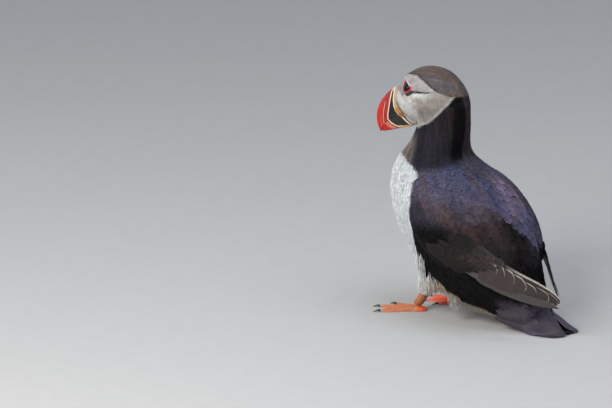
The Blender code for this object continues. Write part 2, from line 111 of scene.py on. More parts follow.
def step(low, high, values):
    """0 below low, 1 above high and a smooth rise between them."""
    share = np.clip((values - low) / (high - low), 0, 1)
    return share * share * (3 - 2 * share)


def blended(one, other, share):
    return one + (other - one) * share[..., None]


def summed(values, index, count):
    """Rows of three values added up by their index."""
    return np.stack([np.bincount(index, weights=v, minlength=count) for v in values.T], axis=1)


def face_vectors(points, triangles):
    """Each triangle's normal, as long as twice its area."""
    corners = points[triangles]
    return np.cross(corners[:, 1] - corners[:, 0], corners[:, 2] - corners[:, 0])


def vertex_normals(points, triangles):
    flat = face_vectors(points, triangles)
    return unit(sum(summed(flat, triangles[:, corner], len(points)) for corner in range(3)))


def mesh_arrays(mesh):
    """A mesh's points in the bird's frame, and its triangles."""
    points = np.empty(len(mesh.vertices) * 3, np.float32)
    mesh.vertices.foreach_get("co", points)
    mesh.calc_loop_triangles()
    triangles = np.empty(len(mesh.loop_triangles) * 3, np.int32)
    mesh.loop_triangles.foreach_get("vertices", triangles)
    return points.reshape(-1, 3).astype(float) / MM - ORIGIN, triangles.reshape(-1, 3)


def node_mesh(node):
    """A CAD node's points, each kept once, and its triangles."""
    points, triangles = mesh_arrays(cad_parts[node].data)
    _, first, index = np.unique(np.round(points, 3), axis=0, return_index=True, return_inverse=True)
    triangles = index.ravel()[triangles]
    whole = (triangles[:, 0] != triangles[:, 1]) & (triangles[:, 1] != triangles[:, 2])
    whole &= triangles[:, 0] != triangles[:, 2]
    return points[first], triangles[whole]


def raw_mesh(name, points, triangles):
    """A mesh in metres in the model's frame."""
    mesh = bpy.data.meshes.new(name)
    mesh.vertices.add(len(points))
    mesh.vertices.foreach_set("co", ((points + ORIGIN) * MM).astype(np.float32).ravel())
    mesh.loops.add(triangles.size)
    mesh.loops.foreach_set("vertex_index", triangles.astype(np.int32).ravel())
    mesh.polygons.add(len(triangles))
    mesh.polygons.foreach_set("loop_start", np.arange(0, triangles.size, 3, dtype=np.int32))
    mesh.update(calc_edges=True)
    mesh.validate()
    return mesh


def add_object(name, mesh):
    made = bpy.data.objects.new(name, mesh)
    bpy.context.scene.collection.objects.link(made)
    return made


def mesh_piece(name, points, triangles, look, colours=None, uv=None, extras=None, normals=None):
    """A piece of the model from arrays, with its colours and other values at its points."""
    mesh = raw_mesh(name, points, triangles)
    if normals is not None:
        mesh.normals_split_custom_set_from_vertices(normals.tolist())
    if colours is not None:
        tint = mesh.color_attributes.new("tint", "FLOAT_COLOR", "POINT")
        rgba = np.concatenate([np.clip(colours, 0, 1), np.ones((len(points), 1))], axis=1)
        tint.data.foreach_set("color", rgba.astype(np.float32).ravel())
    for key, values in (extras or {}).items():
        mesh.attributes.new(key, "FLOAT", "POINT").data.foreach_set("value", values.astype(np.float32))
    if uv is not None:
        layer = mesh.uv_layers.new(name="OFBake")
        layer.data.foreach_set("uv", uv[triangles.ravel()].astype(np.float32).ravel())
    mesh.materials.append(look)
    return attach(add_object(name, mesh), "root")


# Surfaces


class Surface:
    """A closed surface of triangles on which feathers are laid."""

    def __init__(self, points, triangles):
        self.points, self.triangles = points, triangles
        self.normals = vertex_normals(points, triangles)
        self.tree = BVHTree.FromPolygons(points.tolist(), triangles.tolist())

    def nearest(self, places):
        found, faces = np.empty_like(places), np.empty(len(places), int)
        for k, place in enumerate(places.tolist()):
            at, _, face, _ = self.tree.find_nearest(place)
            found[k], faces[k] = at, face
        return found, faces

    def values_at(self, values, places, faces):
        """Values kept at the surface's points, blended at places on its faces."""
        a, b, c = (self.points[self.triangles[faces, k]] - places for k in range(3))
        shares = np.stack([np.cross(b, c), np.cross(c, a), np.cross(a, b)], axis=1)
        shares = np.linalg.norm(shares, axis=2) + 1e-9
        shares /= shares.sum(axis=1, keepdims=True)
        return np.einsum("nk,nkd->nd", shares, values[self.triangles[faces]])

    def scatter(self, density):
        """Random places with so many to a square millimetre, given at the surface's points."""
        corners = self.points[self.triangles]
        area = np.linalg.norm(face_vectors(self.points, self.triangles), axis=1) / 2
        wanted = area * density[self.triangles].mean(axis=1)
        count = np.floor(wanted + random.random(len(wanted))).astype(int)
        faces = np.repeat(np.arange(len(count)), count)
        one, other = random.random(len(faces)), random.random(len(faces))
        beyond = one + other > 1
        one[beyond], other[beyond] = 1 - one[beyond], 1 - other[beyond]
        a, b, c = (corners[faces, k] for k in range(3))
        return a + (b - a) * one[:, None] + (c - a) * other[:, None], faces


def remeshed(points, triangles, voxel):
    """One even skin round a set of closed meshes that may overlap."""
    made = add_object("remesh", raw_mesh("remesh", points, triangles))
    modifier = made.modifiers.new("remesh", "REMESH")
    modifier.mode = "VOXEL"
    modifier.voxel_size = voxel * MM
    evaluated = made.evaluated_get(bpy.context.evaluated_depsgraph_get())
    result = bpy.data.meshes.new_from_object(evaluated)
    arrays = mesh_arrays(result)
    bpy.data.objects.remove(made)
    bpy.data.meshes.remove(result)
    return arrays


def softened(mesh, voxel, rounds):
    """Closed meshes in one even skin, whose points go halfway to their neighbours' mean each round."""
    points, triangles = remeshed(*mesh, voxel)
    edges = np.concatenate([triangles[:, [0, 1]], triangles[:, [1, 2]], triangles[:, [2, 0]]])
    count = np.maximum(np.bincount(edges[:, 0], minlength=len(points)), 1)[:, None]
    for _ in range(rounds):
        total = summed(points[edges[:, 1]], edges[:, 0], len(points))
        points = points + (total / count - points) * 0.5
    return points, triangles


FLESH = (
    "head", "neck", "trunk", "rump", "tail", "thigh_left", "thigh_right", "wing_left_arm",
    "wing_right_arm",
)  # fmt: skip
SWELL = 0.35  # closes the gaps between the nodes
VOXEL = 1.1


def joined(parts):
    """Several (points, triangles) as one."""
    points, triangles, start = [], [], 0
    for some, faces in parts:
        points.append(some)
        triangles.append(faces + start)
        start += len(some)
    return np.concatenate(points), np.concatenate(triangles)


def outer_surface():
    """The bird's outline over its plumage: the CAD nodes of flesh as one surface without seams."""
    parts = []
    for node in FLESH:
        points, triangles = node_mesh(node)
        parts.append((points + vertex_normals(points, triangles) * SWELL, triangles))
    return Surface(*softened(joined(parts), VOXEL, rounds=7))


# The lie of the feathers

HEAD_GUIDES = (  # place and way, both as (p, side, q) in the head's own axes
    ((28, 0, 21), (-0.5, 0, 0.85)),
    ((14, 0, 28), (-1, 0, 0.2)),
    ((-4, 0, 27), (-1, 0, -0.15)),
    ((-22, 0, 15), (-0.75, 0, -0.65)),
    ((27, 9, 12), (-1, 0.2, 0.1)),
    ((27, 8, -4), (-1, 0.2, -0.15)),
    ((12, 19, 4), (-1, 0, -0.15)),
    ((8, 20, -14), (-0.95, 0, -0.35)),
    ((-5, 21, 10), (-1, 0, -0.2)),
    ((-18, 19, -3), (-0.75, 0, -0.65)),
)
BODY_GUIDES = (  # place and way, both as (x, y, z)
    ((0, -24, 164), (0, 0.15, -1)),
    ((0, -28, 150), (0, -0.3, -1)),
    ((0, -44, 130), (0, -0.3, -1)),
    ((0, -48, 105), (0, 0.1, -1)),
    ((0, -36, 75), (0, 0.45, -0.9)),
    ((0, -8, 45), (0, 0.8, -0.6)),
    ((0, 30, 20), (0, 1, -0.25)),
    ((0, 95, 6), (0, 1, -0.05)),
    ((21, -4, 160), (0.1, 0, -1)),
    ((0, 22, 165), (0, 0.1, -1)),
    ((0, 26, 148), (0, 0.5, -0.85)),
    ((28, 15, 140), (0.25, 0.2, -0.95)),
    ((38, 8, 126), (0.25, 0.05, -1)),
    ((47, 12, 105), (0, 0.2, -0.97)),
    ((52, 38, 90), (0, 0.45, -0.9)),
    ((45, 68, 72), (0, 0.7, -0.7)),
    ((42, 90, 62), (0, 0.8, -0.6)),
    ((0, 58, 122), (0, 0.75, -0.66)),
    ((22, 62, 112), (0.1, 0.65, -0.75)),
    ((0, 88, 90), (0, 0.6, -0.8)),
    ((20, 92, 78), (0, 0.6, -0.8)),
    ((0, 108, 52), (0, 0.6, -0.8)),
    ((0, 122, 22), (-0.05, 0.85, -0.5)),
    ((-5, 148, 4), (-0.15, 1, -0.15)),
    ((40, -2, 80), (0, 0.25, -0.97)),
    ((38, 10, 50), (0, 0.6, -0.8)),
    ((36, 28, 36), (0, 0.9, -0.45)),
    ((30, 60, 26), (0, 0.97, -0.2)),
    ((24, 6, 30), (0, 0.2, -1)),
)
GUIDE_SOFTNESS = 20


def mirrored(guides, axis):
    """Guides, and the mirror images of those that lie off the middle."""
    mirror = np.ones(3)
    mirror[axis] = -1
    for place, way in guides:
        yield np.array(place), np.array(way)
        if place[axis]:
            yield place * mirror, way * mirror


def lie_of(surface):
    """The way the feathers lie at each of the surface's points."""
    guides = [(head_place(*at), head_place(*way) - HEAD_CENTRE) for at, way in mirrored(HEAD_GUIDES, 1)]
    guides += mirrored(BODY_GUIDES, 0)
    ways = np.zeros_like(surface.points)
    for place, way in guides:
        distance = np.linalg.norm(surface.points - place, axis=1)
        ways += unit(way) / (distance[:, None] ** 2 + GUIDE_SOFTNESS) ** 2
    ways -= surface.normals * (ways * surface.normals).sum(axis=1, keepdims=True)
    return unit(ways)


# Plumage pattern and painted light and shade, which skin and coat share. Colours are linear


def noise(a, b):
    """Smooth random values from 0 to 1 that change over a step of 1 in a and b."""
    a0, b0 = np.floor(a), np.floor(b)
    share_a, share_b = step(0, 1, a - a0), step(0, 1, b - b0)

    def corner(i, j):
        return np.modf(np.abs(np.sin((a0 + i) * 127.1 + (b0 + j) * 311.7) * 43758.5453))[0]

    low = corner(0, 0) + (corner(1, 0) - corner(0, 0)) * share_a
    high = corner(0, 1) + (corner(1, 1) - corner(0, 1)) * share_a
    return low + (high - low) * share_b


WHITE = np.array((0.60, 0.625, 0.64))
CREAM = np.array((0.46, 0.385, 0.31))
FACE_UPPER = np.array((0.50, 0.468, 0.462))
FACE_BROW = np.array((0.42, 0.40, 0.40))
FACE_CHEEK = np.array((0.472, 0.425, 0.388))
FACE_LOW = np.array((0.33, 0.295, 0.275))
# Front of the cheek: paler feathers, made paler still with painted light
FACE_FRONT = np.array((0.86, 0.85, 0.82))
FACE_RIM = np.array((0.58, 0.55, 0.54))
CROWN = np.array((0.155, 0.125, 0.120))
NAPE = np.array((0.0035, 0.003, 0.0035))
COLLAR = np.array((0.022, 0.018, 0.024))
COLLAR_FRONT_LIT = np.array((0.200, 0.174, 0.160))
# Black plumage, painted blue-violet on mantle and scapulars as a reflection of the sky on the upper
# surfaces
MANTLE_SKY_SHEEN = np.array((0.066, 0.062, 0.100))
# Flank colours that darken downwards as painted shade, down to the painted shade low on the side
SHOULDER = np.array((0.086, 0.070, 0.094))
WING_SIDE = np.array((0.052, 0.040, 0.053))
LOW_SIDE_SHADE = np.array((0.0035, 0.0028, 0.0032))
SCAPULAR_SKY_SHEEN = np.array((0.074, 0.064, 0.112))
WING_REAR = np.array((0.030, 0.021, 0.023))
REAR_SHADOW = np.array((0.0045, 0.0032, 0.0042))
TAIL = np.array((0.038, 0.030, 0.046))
BACK_RIM_SHEEN = np.array((0.130, 0.101, 0.157))
STREAK_HUE = np.array((0.34, 0.04, -0.34))
CROWN_EDGE_P = (-24, -21.9, -17.5, -13.2, -8.9, -6.1, -1.8, 3.7, 12, 28)
CROWN_EDGE = (126, 116, 94, 77, 54, 44, 30, 22, 9, 5)
CHEEK_EDGE_P = (-24, -20.7, -14.7, -7.4, -0.4, 6.6, 14.5, 20.0, 24, 28, 34)
CHEEK_EDGE_Q = (-9.8, -11.5, -14.6, -16.5, -18.0, -18.6, -17.2, -15.4, -12.0, -10, -8)
# Edge between the far side's painted sky reflection and the painted shade on the back's near side
BLUE_EDGE_Z = (60, 70, 78, 85, 89, 96, 103, 112)
BLUE_EDGE_X = (-32, -16, -9, -5.5, 1, 7, 13, 20)
# Edge of the painted shadow in the hollow between the folded wings
HOLLOW_EDGE_Z = (60, 68, 78, 88, 102)
HOLLOW_EDGE_Y = (95, 95, 92.8, 87.4, 79)
WHITE_EDGE_Y = (-60, -20, -9.5, 2.5, 6, 2, 3.4, 10.6, 19, 30, 42, 60, 80, 100, 125)
WHITE_EDGE_Z = (143, 140, 136, 131, 107, 83, 60, 41, 35, 28, 21, 15, 10, 5, 1)


def stretches(a, b, line_a, line_b):
    """For each stretch of a line: the share along it nearest to places, and their way off it."""
    for a0, b0, a1, b1 in zip(line_a, line_b, line_a[1:], line_b[1:]):
        along = np.array((a1 - a0, b1 - b0))
        share = np.clip(((a - a0) * along[0] + (b - b0) * along[1]) / (along @ along), 0, 1)
        yield along, share, a - a0 - along[0] * share, b - b0 - along[1] * share


def inside_edge(y, z, edge_y, edge_z):
    """Distance from a line in the side view, above 0 below and in front of it."""
    best = np.full(len(y), np.inf)
    sign = np.ones(len(y))
    for along, _, dy, dz in stretches(y, z, edge_y, edge_z):
        distance = np.hypot(dy, dz)
        nearer = distance < best
        turned = along[1] * dy - along[0] * dz
        sign = np.where(nearer, np.where(turned >= 0, 1.0, -1.0), sign)
        best = np.minimum(best, distance)
    return best * sign


def face_share(points):
    """1 on the pale face, and how far inside its edge and above its lower edge a place lies."""
    p, side, q = head_axes(points)
    turn = np.degrees(np.arctan2(np.abs(side), q))
    radius = np.hypot(side, q)
    above = (turn - np.interp(p, CROWN_EDGE_P, CROWN_EDGE)) * radius * math.pi / 180
    below = q - np.interp(p, CHEEK_EDGE_P, CHEEK_EDGE_Q)
    inside = np.minimum(np.minimum(above, below), p + 24.5)
    near = (np.linalg.norm(points - HEAD_CENTRE, axis=1) < 60) & (q > -26)
    inside = np.where(near, inside, -20)
    return step(-0.5, 0.5, inside), inside, below


def neck_colours(points):
    """The black collar: its front sides browner with painted light, the nape strip darkest with painted
    shade, and a painted rim highlight on its far side.
    """
    x, y, z = points.T
    mottled = noise(z * 0.4, x * 0.5 + y * 0.3)
    # Painted light browning the collar's front sides
    sides = blended(COLLAR, COLLAR_FRONT_LIT, step(-4, -17, y) * step(168, 150, z))
    # Painted shade: the nape strip, darker than the black collar
    strip = step(8.5, 5.5, np.abs(x - 6.2) + 1.2 * mottled) * step(6, 13, y)
    # Painted rim highlight on the far side of the neck behind the nape
    sides = sides * (1 + 1.0 * step(2, 0, x) * step(6, 13, y))[:, None]
    return blended(sides, NAPE, strip)


def dark_colours(points):
    """The dark parts, from mantle and scapulars over the flank to rump, tail, collar and crown, with a
    painted blue sky reflection on top, a painted rim highlight beyond the back's ridge, painted shade
    down the flanks and on the back's near side, and painted shadow in the hollow between the wings,
    under the rear and in the tail's notch.
    """
    x, y, z = points.T
    _, _, q = head_axes(points)
    wide = np.abs(x)
    # The back's upper surfaces: black, with a painted blue sky reflection
    colours = blended(MANTLE_SKY_SHEEN, SCAPULAR_SKY_SHEEN, step(45, 68, y))
    # Painted violet rim highlight on the far side beyond the back's ridge
    beyond = step(2, -8, x) * step(40, 52, y)
    colours = blended(colours, BACK_RIM_SHEEN, beyond * step(92, 108, z))
    # Painted shade: the back's near side darker below the ridge
    colours *= (1 - 0.3 * step(-2, 4, x) * step(104, 94, z))[:, None]
    # Darker down the flank and near black low on the side: painted shade
    flank = blended(SHOULDER, WING_SIDE, step(122, 104, z))
    flank *= (1 - 0.35 * step(34, 12, y) * step(46, 50, wide))[:, None]
    low = blended(LOW_SIDE_SHADE, WING_REAR, step(46, 64, y) * step(54, 64, z))
    flank = blended(flank, low, step(99, 84, z - 0.12 * (y - 5)))
    flank = blended(flank, WING_REAR, step(58, 78, y) * step(108, 92, z))
    # Painted shade: the near side of the lower back takes the dark flank colours
    near = step(-3, 3, x - np.interp(z, BLUE_EDGE_Z, BLUE_EDGE_X)) * step(118, 110, z)
    colours = blended(colours, flank, np.maximum(step(24, 40, wide - 0.12 * (y - 50)), near))
    # Painted shadow in the hollow between the wings
    hollow = step(-3, 3, y - np.interp(z, HOLLOW_EDGE_Z, HOLLOW_EDGE_Y))
    hollow *= step(-3, 2, x - np.interp(z, BLUE_EDGE_Z, BLUE_EDGE_X)) * step(107, 101, z)
    colours = blended(colours, REAR_SHADOW, hollow)
    # Painted shadow under the rear of the body
    colours = blended(colours, LOW_SIDE_SHADE, step(62, 52, z) * step(40, 60, y))
    colours = blended(colours, TAIL, step(80, 91, y) * step(34, 25, z))
    # Painted shadow in the notch between the tail's lobes
    notch = np.abs(x - np.interp(y, (120, 127, 140), (-17, -12, -5))) + 4 * (y < 118)
    colours = blended(colours, REAR_SHADOW, step(3.5, 2.0, notch) * step(30, 20, z))
    colours = blended(colours, neck_colours(points), step(134, 142, z + 0.15 * wide - 0.12 * y))
    crown = np.maximum(step(194.5, 196.8, z), step(7, 11, q))
    return blended(colours, CROWN, crown * step(60, 50, np.linalg.norm(points - HEAD_CENTRE, axis=1)))


FURROW_P = (5.5, 1.1, -3.2, -7.8, -13.0)
FURROW_Q = (11.0, 8.8, 6.8, 4.5, 1.9)


def furrow_share(points):
    """1 along the bottom of the furrow behind each eye, 0 beside it."""
    p, side, q = head_axes(points)
    away = np.min([np.hypot(dp, dq) for _, _, dp, dq in stretches(p, q, FURROW_P, FURROW_Q)], axis=0)
    width = 0.10 + 0.6 * step(-12, 4, p)
    return (1 - step(width, width + 0.6, away)) * (np.abs(side) > 8) * step(-14, -7, p)


EYE_PATCH = (  # p and q round the eye's rim and plates
    (10.6, 25.2), (16.9, 16.8), (15.9, 12.2), (13.9, 10.6), (4.6, 10.8), (5.0, 14.6), (6.3, 19.0),
)  # fmt: skip


def in_eye_patch(points):
    """Whether places lie under the eye's rim and plates, where no feathers grow."""
    p, side, q = head_axes(points)
    inside = np.abs(side) > 5
    for (p0, q0), (p1, q1) in zip(EYE_PATCH, (*EYE_PATCH[1:], EYE_PATCH[0])):
        inside &= (q1 - q0) * (p - p0) - (p1 - p0) * (q - q0) < 0
    return inside


def inside_white(points):
    """Distance inside the edge of the white underparts."""
    return inside_edge(points[:, 1], points[:, 2], WHITE_EDGE_Y, WHITE_EDGE_Z)


def white_share(points):
    return step(-0.6, 0.6, inside_white(points))


def from_eye(points):
    """Distance from the middle of the nearer eye."""
    p, side, q = head_axes(points)
    return np.linalg.norm(np.stack([p - EYE_P, np.abs(side) - EYE_SIDE, q - EYE_Q], axis=1), axis=1)


def streaks(points):
    """About 1 in each colour, lighter, darker, bluer and browner in streaks along the feathers."""
    u, v = unwrapped(points).T
    fine = noise(u * 260, v * 30) + 0.8 * noise(u * 110 + 9, v * 16) + 0.6 * noise(u * 30, v * 10 + 5)
    hue = noise(u * 150 + 40, v * 14) + noise(u * 34 + 3, v * 10 + 60) - 1
    shade = 1 + 1.25 * (fine / 2.4 - 0.5)
    return shade[:, None] * (1 + hue[:, None] * STREAK_HUE)


def face_colours(points, below):
    """The grey face: paler in front, where paler feathers also carry painted light, paler at its rim
    and browner at the cheek's rear.
    """
    p, _, q = head_axes(points)
    u, v = unwrapped(points).T
    mottled = noise(p * 0.35 + 20, q * 0.35 + 3) - 0.5
    streaked = noise(u * 230, v * 30 + 7) - 0.5
    line = np.interp(p, FURROW_P[::-1], FURROW_Q[::-1])
    cheek = blended(FACE_CHEEK, FACE_LOW, step(2, -10, q) * step(22, 8, p))
    # Paler towards the bill: partly the feathers, partly painted light
    front = np.maximum(step(6, 20, p + 0.25 * q + 3 * mottled), step(9, 2, line - q) * step(-14, 2, p))
    cheek = blended(cheek, FACE_FRONT, front)
    upper = blended(FACE_UPPER, FACE_BROW, step(14, 17, p) * step(13, 16, q))
    upper = blended(upper, FACE_FRONT, step(21, 25, p) * step(22, 16, q))
    pale = blended(cheek, upper, step(-0.5, 0.5, q - line - 3 * step(6, 12, p)))
    pale = blended(pale, FACE_RIM, step(3.4, 0.8, below) * step(28, 18, p) * 0.7)
    lower_rear = step(-4, -12, p) * step(4, -6, q)
    pale = blended(pale, FACE_CHEEK * 0.85, lower_rear * 0.4)
    return pale * (1 + 0.25 * mottled + 0.25 * streaked)[:, None]


def markings_and_painted_light(points):
    """The plumage's colour at places on the bird: its pattern, with painted light and shade."""
    _, y, z = points.T
    p, _, _ = head_axes(points)
    colours = dark_colours(points) * streaks(points)
    white = blended(WHITE, CREAM, step(62, 30, z) * step(-8, 12, y) * 0.8)
    colours = blended(colours, white, white_share(points) * step(146, 143, z))
    face, inside, below = face_share(points)
    edge = step(-2.8, -0.6, inside) * step(0, 6, below) * (p > -18)
    colours = blended(colours * (1 - 0.72 * edge)[:, None], face_colours(points, below), face)
    colours = blended(colours, NAPE * 4, furrow_share(points) * face * 0.95)
    return colours


# Where a root lies on an unwrap of the skin

SPINE_Y = (-42, -7.5, 0, 2, 22, 57, 98, 125, 153)
SPINE_Z = (172, 190, 165, 132, 100, 58, 25, 12, 3)
PATCH = 0.003


def unwrapped(points):
    """Distance along the bird and angle round it, each from 0.02 to 0.98."""
    x, y, z = points.T
    best = np.full(len(points), np.inf)
    u, v = np.zeros(len(points)), np.zeros(len(points))
    run = 0.0
    for along, share, dy, dz in stretches(y, z, SPINE_Y, SPINE_Z):
        length = np.hypot(*along)
        away = np.hypot(dy, dz)
        back = (dy * -along[1] + dz * along[0]) / length
        nearer = away < best
        u = np.where(nearer, np.arctan2(x, back), u)
        v = np.where(nearer, run + share * length, v)
        best = np.minimum(best, away)
        run += length
    return np.stack([0.5 + 0.48 * u / math.pi, 0.02 + 0.96 * v / run], axis=1)


# Feathers: closed thin bodies laid on the outer surface, with roots at the skin


class Coat:
    """Feathers gathered for one piece of the coat."""

    def __init__(self):
        self.parts, self.colours, self.uv, self.barbs, self.normals = [], [], [], [], []

    def add(self, points, triangles, colours, uv, barbs, normals):
        """All but triangles, which are one feather's, are (feathers, corners, ...)."""
        count, corners = points.shape[:2]
        every = (np.arange(count) * corners)[:, None, None] + triangles
        self.parts.append((points.reshape(-1, 3), every.reshape(-1, 3)))
        self.colours.append(colours.reshape(-1, 3))
        self.uv.append(uv.reshape(-1, 2))
        self.barbs.append(barbs.ravel())
        self.normals.append(unit(normals.reshape(-1, 3)))

    def piece(self, name, look, slot):
        """Makes one object of all the feathers. The slot is not used."""
        colours, uv, barbs, normals = map(
            np.concatenate, (self.colours, self.uv, self.barbs, self.normals)
        )
        points, triangles = joined(self.parts)
        made = mesh_piece(name, points, triangles, look, colours, uv, {"barb": barbs}, normals)
        return made


def strip_triangles(rings, across):
    """Triangles of a closed vane: a root point, rings of points across it, and a tip point."""
    faces = []
    tip = 1 + rings * across
    loop = list(range(across))

    def ring(k, j):
        return 1 + k * across + j % across

    for j in loop:
        faces.append((0, ring(0, j + 1), ring(0, j)))
        faces.append((tip, ring(rings - 1, j), ring(rings - 1, j + 1)))
    for k in range(rings - 1):
        for j in loop:
            faces.append((ring(k, j), ring(k + 1, j + 1), ring(k + 1, j)))
            faces.append((ring(k, j), ring(k, j + 1), ring(k + 1, j + 1)))
    return np.array(faces)


def turned(ways, normals, angle):
    return ways * np.cos(angle)[:, None] + np.cross(normals, ways) * np.sin(angle)[:, None]


def walk(surface, lie, roots, faces, lengths, shares, swing):
    """Places, normals and ways at shares of the length of feathers that follow the lie."""
    places, done, way = roots, 0.0, None
    lines, normals, ways = [], [], []
    for share in (0.0, *shares):
        if way is not None:
            places, faces = surface.nearest(places + way * ((share - done) * lengths)[:, None])
            done = share
        normal = unit(surface.values_at(surface.normals, places, faces))
        way = surface.values_at(lie, places, faces)
        way = turned(unit(way - normal * (way * normal).sum(axis=1, keepdims=True)), normal, swing)
        lines.append(places)
        normals.append(normal)
        ways.append(way)
    return tuple(np.stack(values, axis=1) for values in (lines, normals, ways))


def lay_vanes(coat, lines, width, height, style, colours, uv_at):
    """Adds vanes along centrelines, which are places, normals and ways at the style's shares.

    width is each vane's full width, height how far its centreline stands off the lines' places.
    """
    line, normal, way = lines
    under = style.get("under", ())
    across = np.array((*style["across"], *under))
    face = np.array([1.0] * len(style["across"]) + [-1.0] * len(under))
    side = np.cross(way, normal)
    middle = line + normal * height[..., None]
    dome = (1 - across**2) * style["dome"] + (across == 0) * style["shaft"] * face
    dome -= (face < 0) * style["dome"] * 0.6
    rings, facing = [], []
    for k, (low, high) in enumerate(style["halves"]):
        reach = width[:, None] / 2 * np.where(across < 0, low, high) * across
        lift = width[:, None] / 4 * (low + high) * dome
        rings.append(
            middle[:, k + 1, None]
            + side[:, k + 1, None] * reach[..., None]
            + normal[:, k + 1, None] * lift[..., None]
        )
        tilt = across[:, None] * style["round"]
        facing.append(normal[:, k + 1, None] * face[:, None] + side[:, k + 1, None] * tilt)
    count = len(line)
    facing = np.stack(facing, axis=1).reshape(count, -1, 3)
    normals = np.concatenate([normal[:, :1], facing, normal[:, -1:]], axis=1)
    inner = np.stack(rings, axis=1).reshape(count, -1, 3)
    points = np.concatenate([middle[:, :1], inner, middle[:, -1:]], axis=1)
    shares = style["shares"]
    grid = [(a, s) for s in shares[:-1] for a in across]
    where = np.array([(0.0, 0.0), *grid, (0.0, 1.0)])
    uv = uv_at[:, None] + (where * (1, 2) - (0, 1)) * PATCH / 2
    run = where[:, 1] * style["barb_run"] + np.abs(where[:, 0]) * style["barb_rise"]
    tint = style["tint"](where[:, 0], where[:, 1])
    shade = blended(colours[:, None] + 0 * points, style["fringe"], np.tile(tint, (count, 1)))
    # Darker towards the root: painted shade where each feather lies under the next
    shade *= (0.8 + 0.25 * where[:, 1])[:, None]
    run = np.tile(run, (count, 1))
    coat.add(points, strip_triangles(len(shares) - 1, len(across)), shade, uv, run, normals)


def lay_vane(coat, line, normals, width, style, colours, root):
    """Adds one vane along a centreline, for a root that gives its place on the unwrap."""
    ways = unit(np.gradient(line, axis=0))
    lines = line[None], normals[None], ways[None]
    level = np.zeros((1, len(line)))
    lay_vanes(coat, lines, np.array([width]), level, style, colours, unwrapped(root))


LEAF_SHARES = {1: (0.5, 1.0), 2: (0.33, 0.7, 1.0)}
LEAF_WIDTHS = {1: (1.0,), 2: (0.85, 1.0)}


def lay_leaves(coat, lines, width, sink, rise, colours):
    """Adds narrow closed leaves, three-sided and pointed at both ends, along centrelines."""
    line, normal, way = lines
    count, inner = len(line), line.shape[1] - 2
    side = unit(np.cross(way, normal))
    keys = np.array((0.0, *LEAF_SHARES[inner]))
    height = -sink[:, None] * (1 - keys) ** 1.5 + rise[:, None] * keys
    middle = line + normal * height[..., None]
    rings_made = []
    tilt = side * 0.22 * random.standard_normal(count)[:, None, None] + normal
    facing = [tilt[:, 0]]
    for k in range(1, inner + 1):
        half = (width * LEAF_WIDTHS[inner][k - 1] / 2)[:, None]
        low = middle[:, k] - normal[:, k] * half * 0.35
        rings_made += [
            low - side[:, k] * half,
            middle[:, k] + normal[:, k] * half * 0.35,
            low + side[:, k] * half,
        ]
        facing += [tilt[:, k] - side[:, k] * 0.3, tilt[:, k], tilt[:, k] + side[:, k] * 0.3]
    points = np.stack([middle[:, 0], *rings_made, middle[:, -1]], axis=1)
    normals = np.stack([*facing, tilt[:, -1]], axis=1)
    edge = np.array((0.0, *[-1.0, 0.0, 1.0] * inner, 0.0))
    along = np.array((0.0, *np.repeat(keys[1:-1], 3), 1.0))
    uv = unwrapped(line[:, 0])[:, None] + np.stack([edge, along * 2 - 1], axis=1) * PATCH / 2
    # Darker towards the root: painted shade under the neighbouring leaves
    shade = colours[:, None] * (0.82 + 0.3 * along)[:, None]
    barbs = np.tile(along * 5, (count, 1))
    coat.add(points, strip_triangles(inner, 3), shade, uv, barbs, normals)


def spaced(points, gaps):
    """Indexes of places no nearer to each other than their gaps."""
    tree = KDTree(len(points))
    for k, point in enumerate(points.tolist()):
        tree.insert(point, k)
    tree.balance()
    free = np.ones(len(points), bool)
    kept = []
    for k in range(len(points)):
        if free[k]:
            kept.append(k)
            for _, other, _ in tree.find_range(points[k].tolist(), gaps[k]):
                free[other] = False
    return np.array(kept)


# Materials


def node_tree(name):
    look = bpy.data.materials.new(name)
    look.use_nodes = True
    return look, look.node_tree.nodes, look.node_tree.links


def add_node(nodes, kind, **values):
    """Adds a node with values for its sockets, or after an underscore for its own settings."""
    made = nodes.new(kind)
    for key, value in values.items():
        if key.startswith("_"):
            setattr(made, key[1:], value)
        else:
            made.inputs[key.replace("_", " ")].default_value = value
    return made


def mottled_look(name, sockets, coarse, fine, tone, rough):
    """A look in the mesh's own colours, which a coarse noise mottles, with a finer noise at hand.

    The other arguments are the values of the shader, of both noises and of the ranges that the
    coarse noise gives the colour and the roughness.
    """
    look, nodes, links = node_tree(name)
    shader = nodes["Principled BSDF"]
    for key, value in sockets.items():
        shader.inputs[key].default_value = value
    tint = add_node(nodes, "ShaderNodeAttribute", _attribute_name="tint")
    where = add_node(nodes, "ShaderNodeTexCoord")
    coarse, fine = (add_node(nodes, "ShaderNodeTexNoise", **values) for values in (coarse, fine))
    tone, rough = (add_node(nodes, "ShaderNodeMapRange", **values) for values in (tone, rough))
    colour = add_node(nodes, "ShaderNodeMix", _data_type="RGBA", _blend_type="MULTIPLY", Factor=1.0)
    for texture in (coarse, fine):
        links.new(where.outputs["Object"], texture.inputs["Vector"])
    for spread in (tone, rough):
        links.new(coarse.outputs["Fac"], spread.inputs["Value"])
    links.new(tint.outputs["Color"], colour.inputs["A"])
    links.new(tone.outputs["Result"], colour.inputs["B"])
    links.new(colour.outputs["Result"], shader.inputs["Base Color"])
    links.new(rough.outputs["Result"], shader.inputs["Roughness"])
    return look, nodes, links, coarse, fine


def add_bump(nodes, links, relief, strength, distance):
    bumped = add_node(nodes, "ShaderNodeBump", Strength=strength, Distance=distance)
    links.new(relief, bumped.inputs["Height"])
    links.new(bumped.outputs["Normal"], nodes["Principled BSDF"].inputs["Normal"])


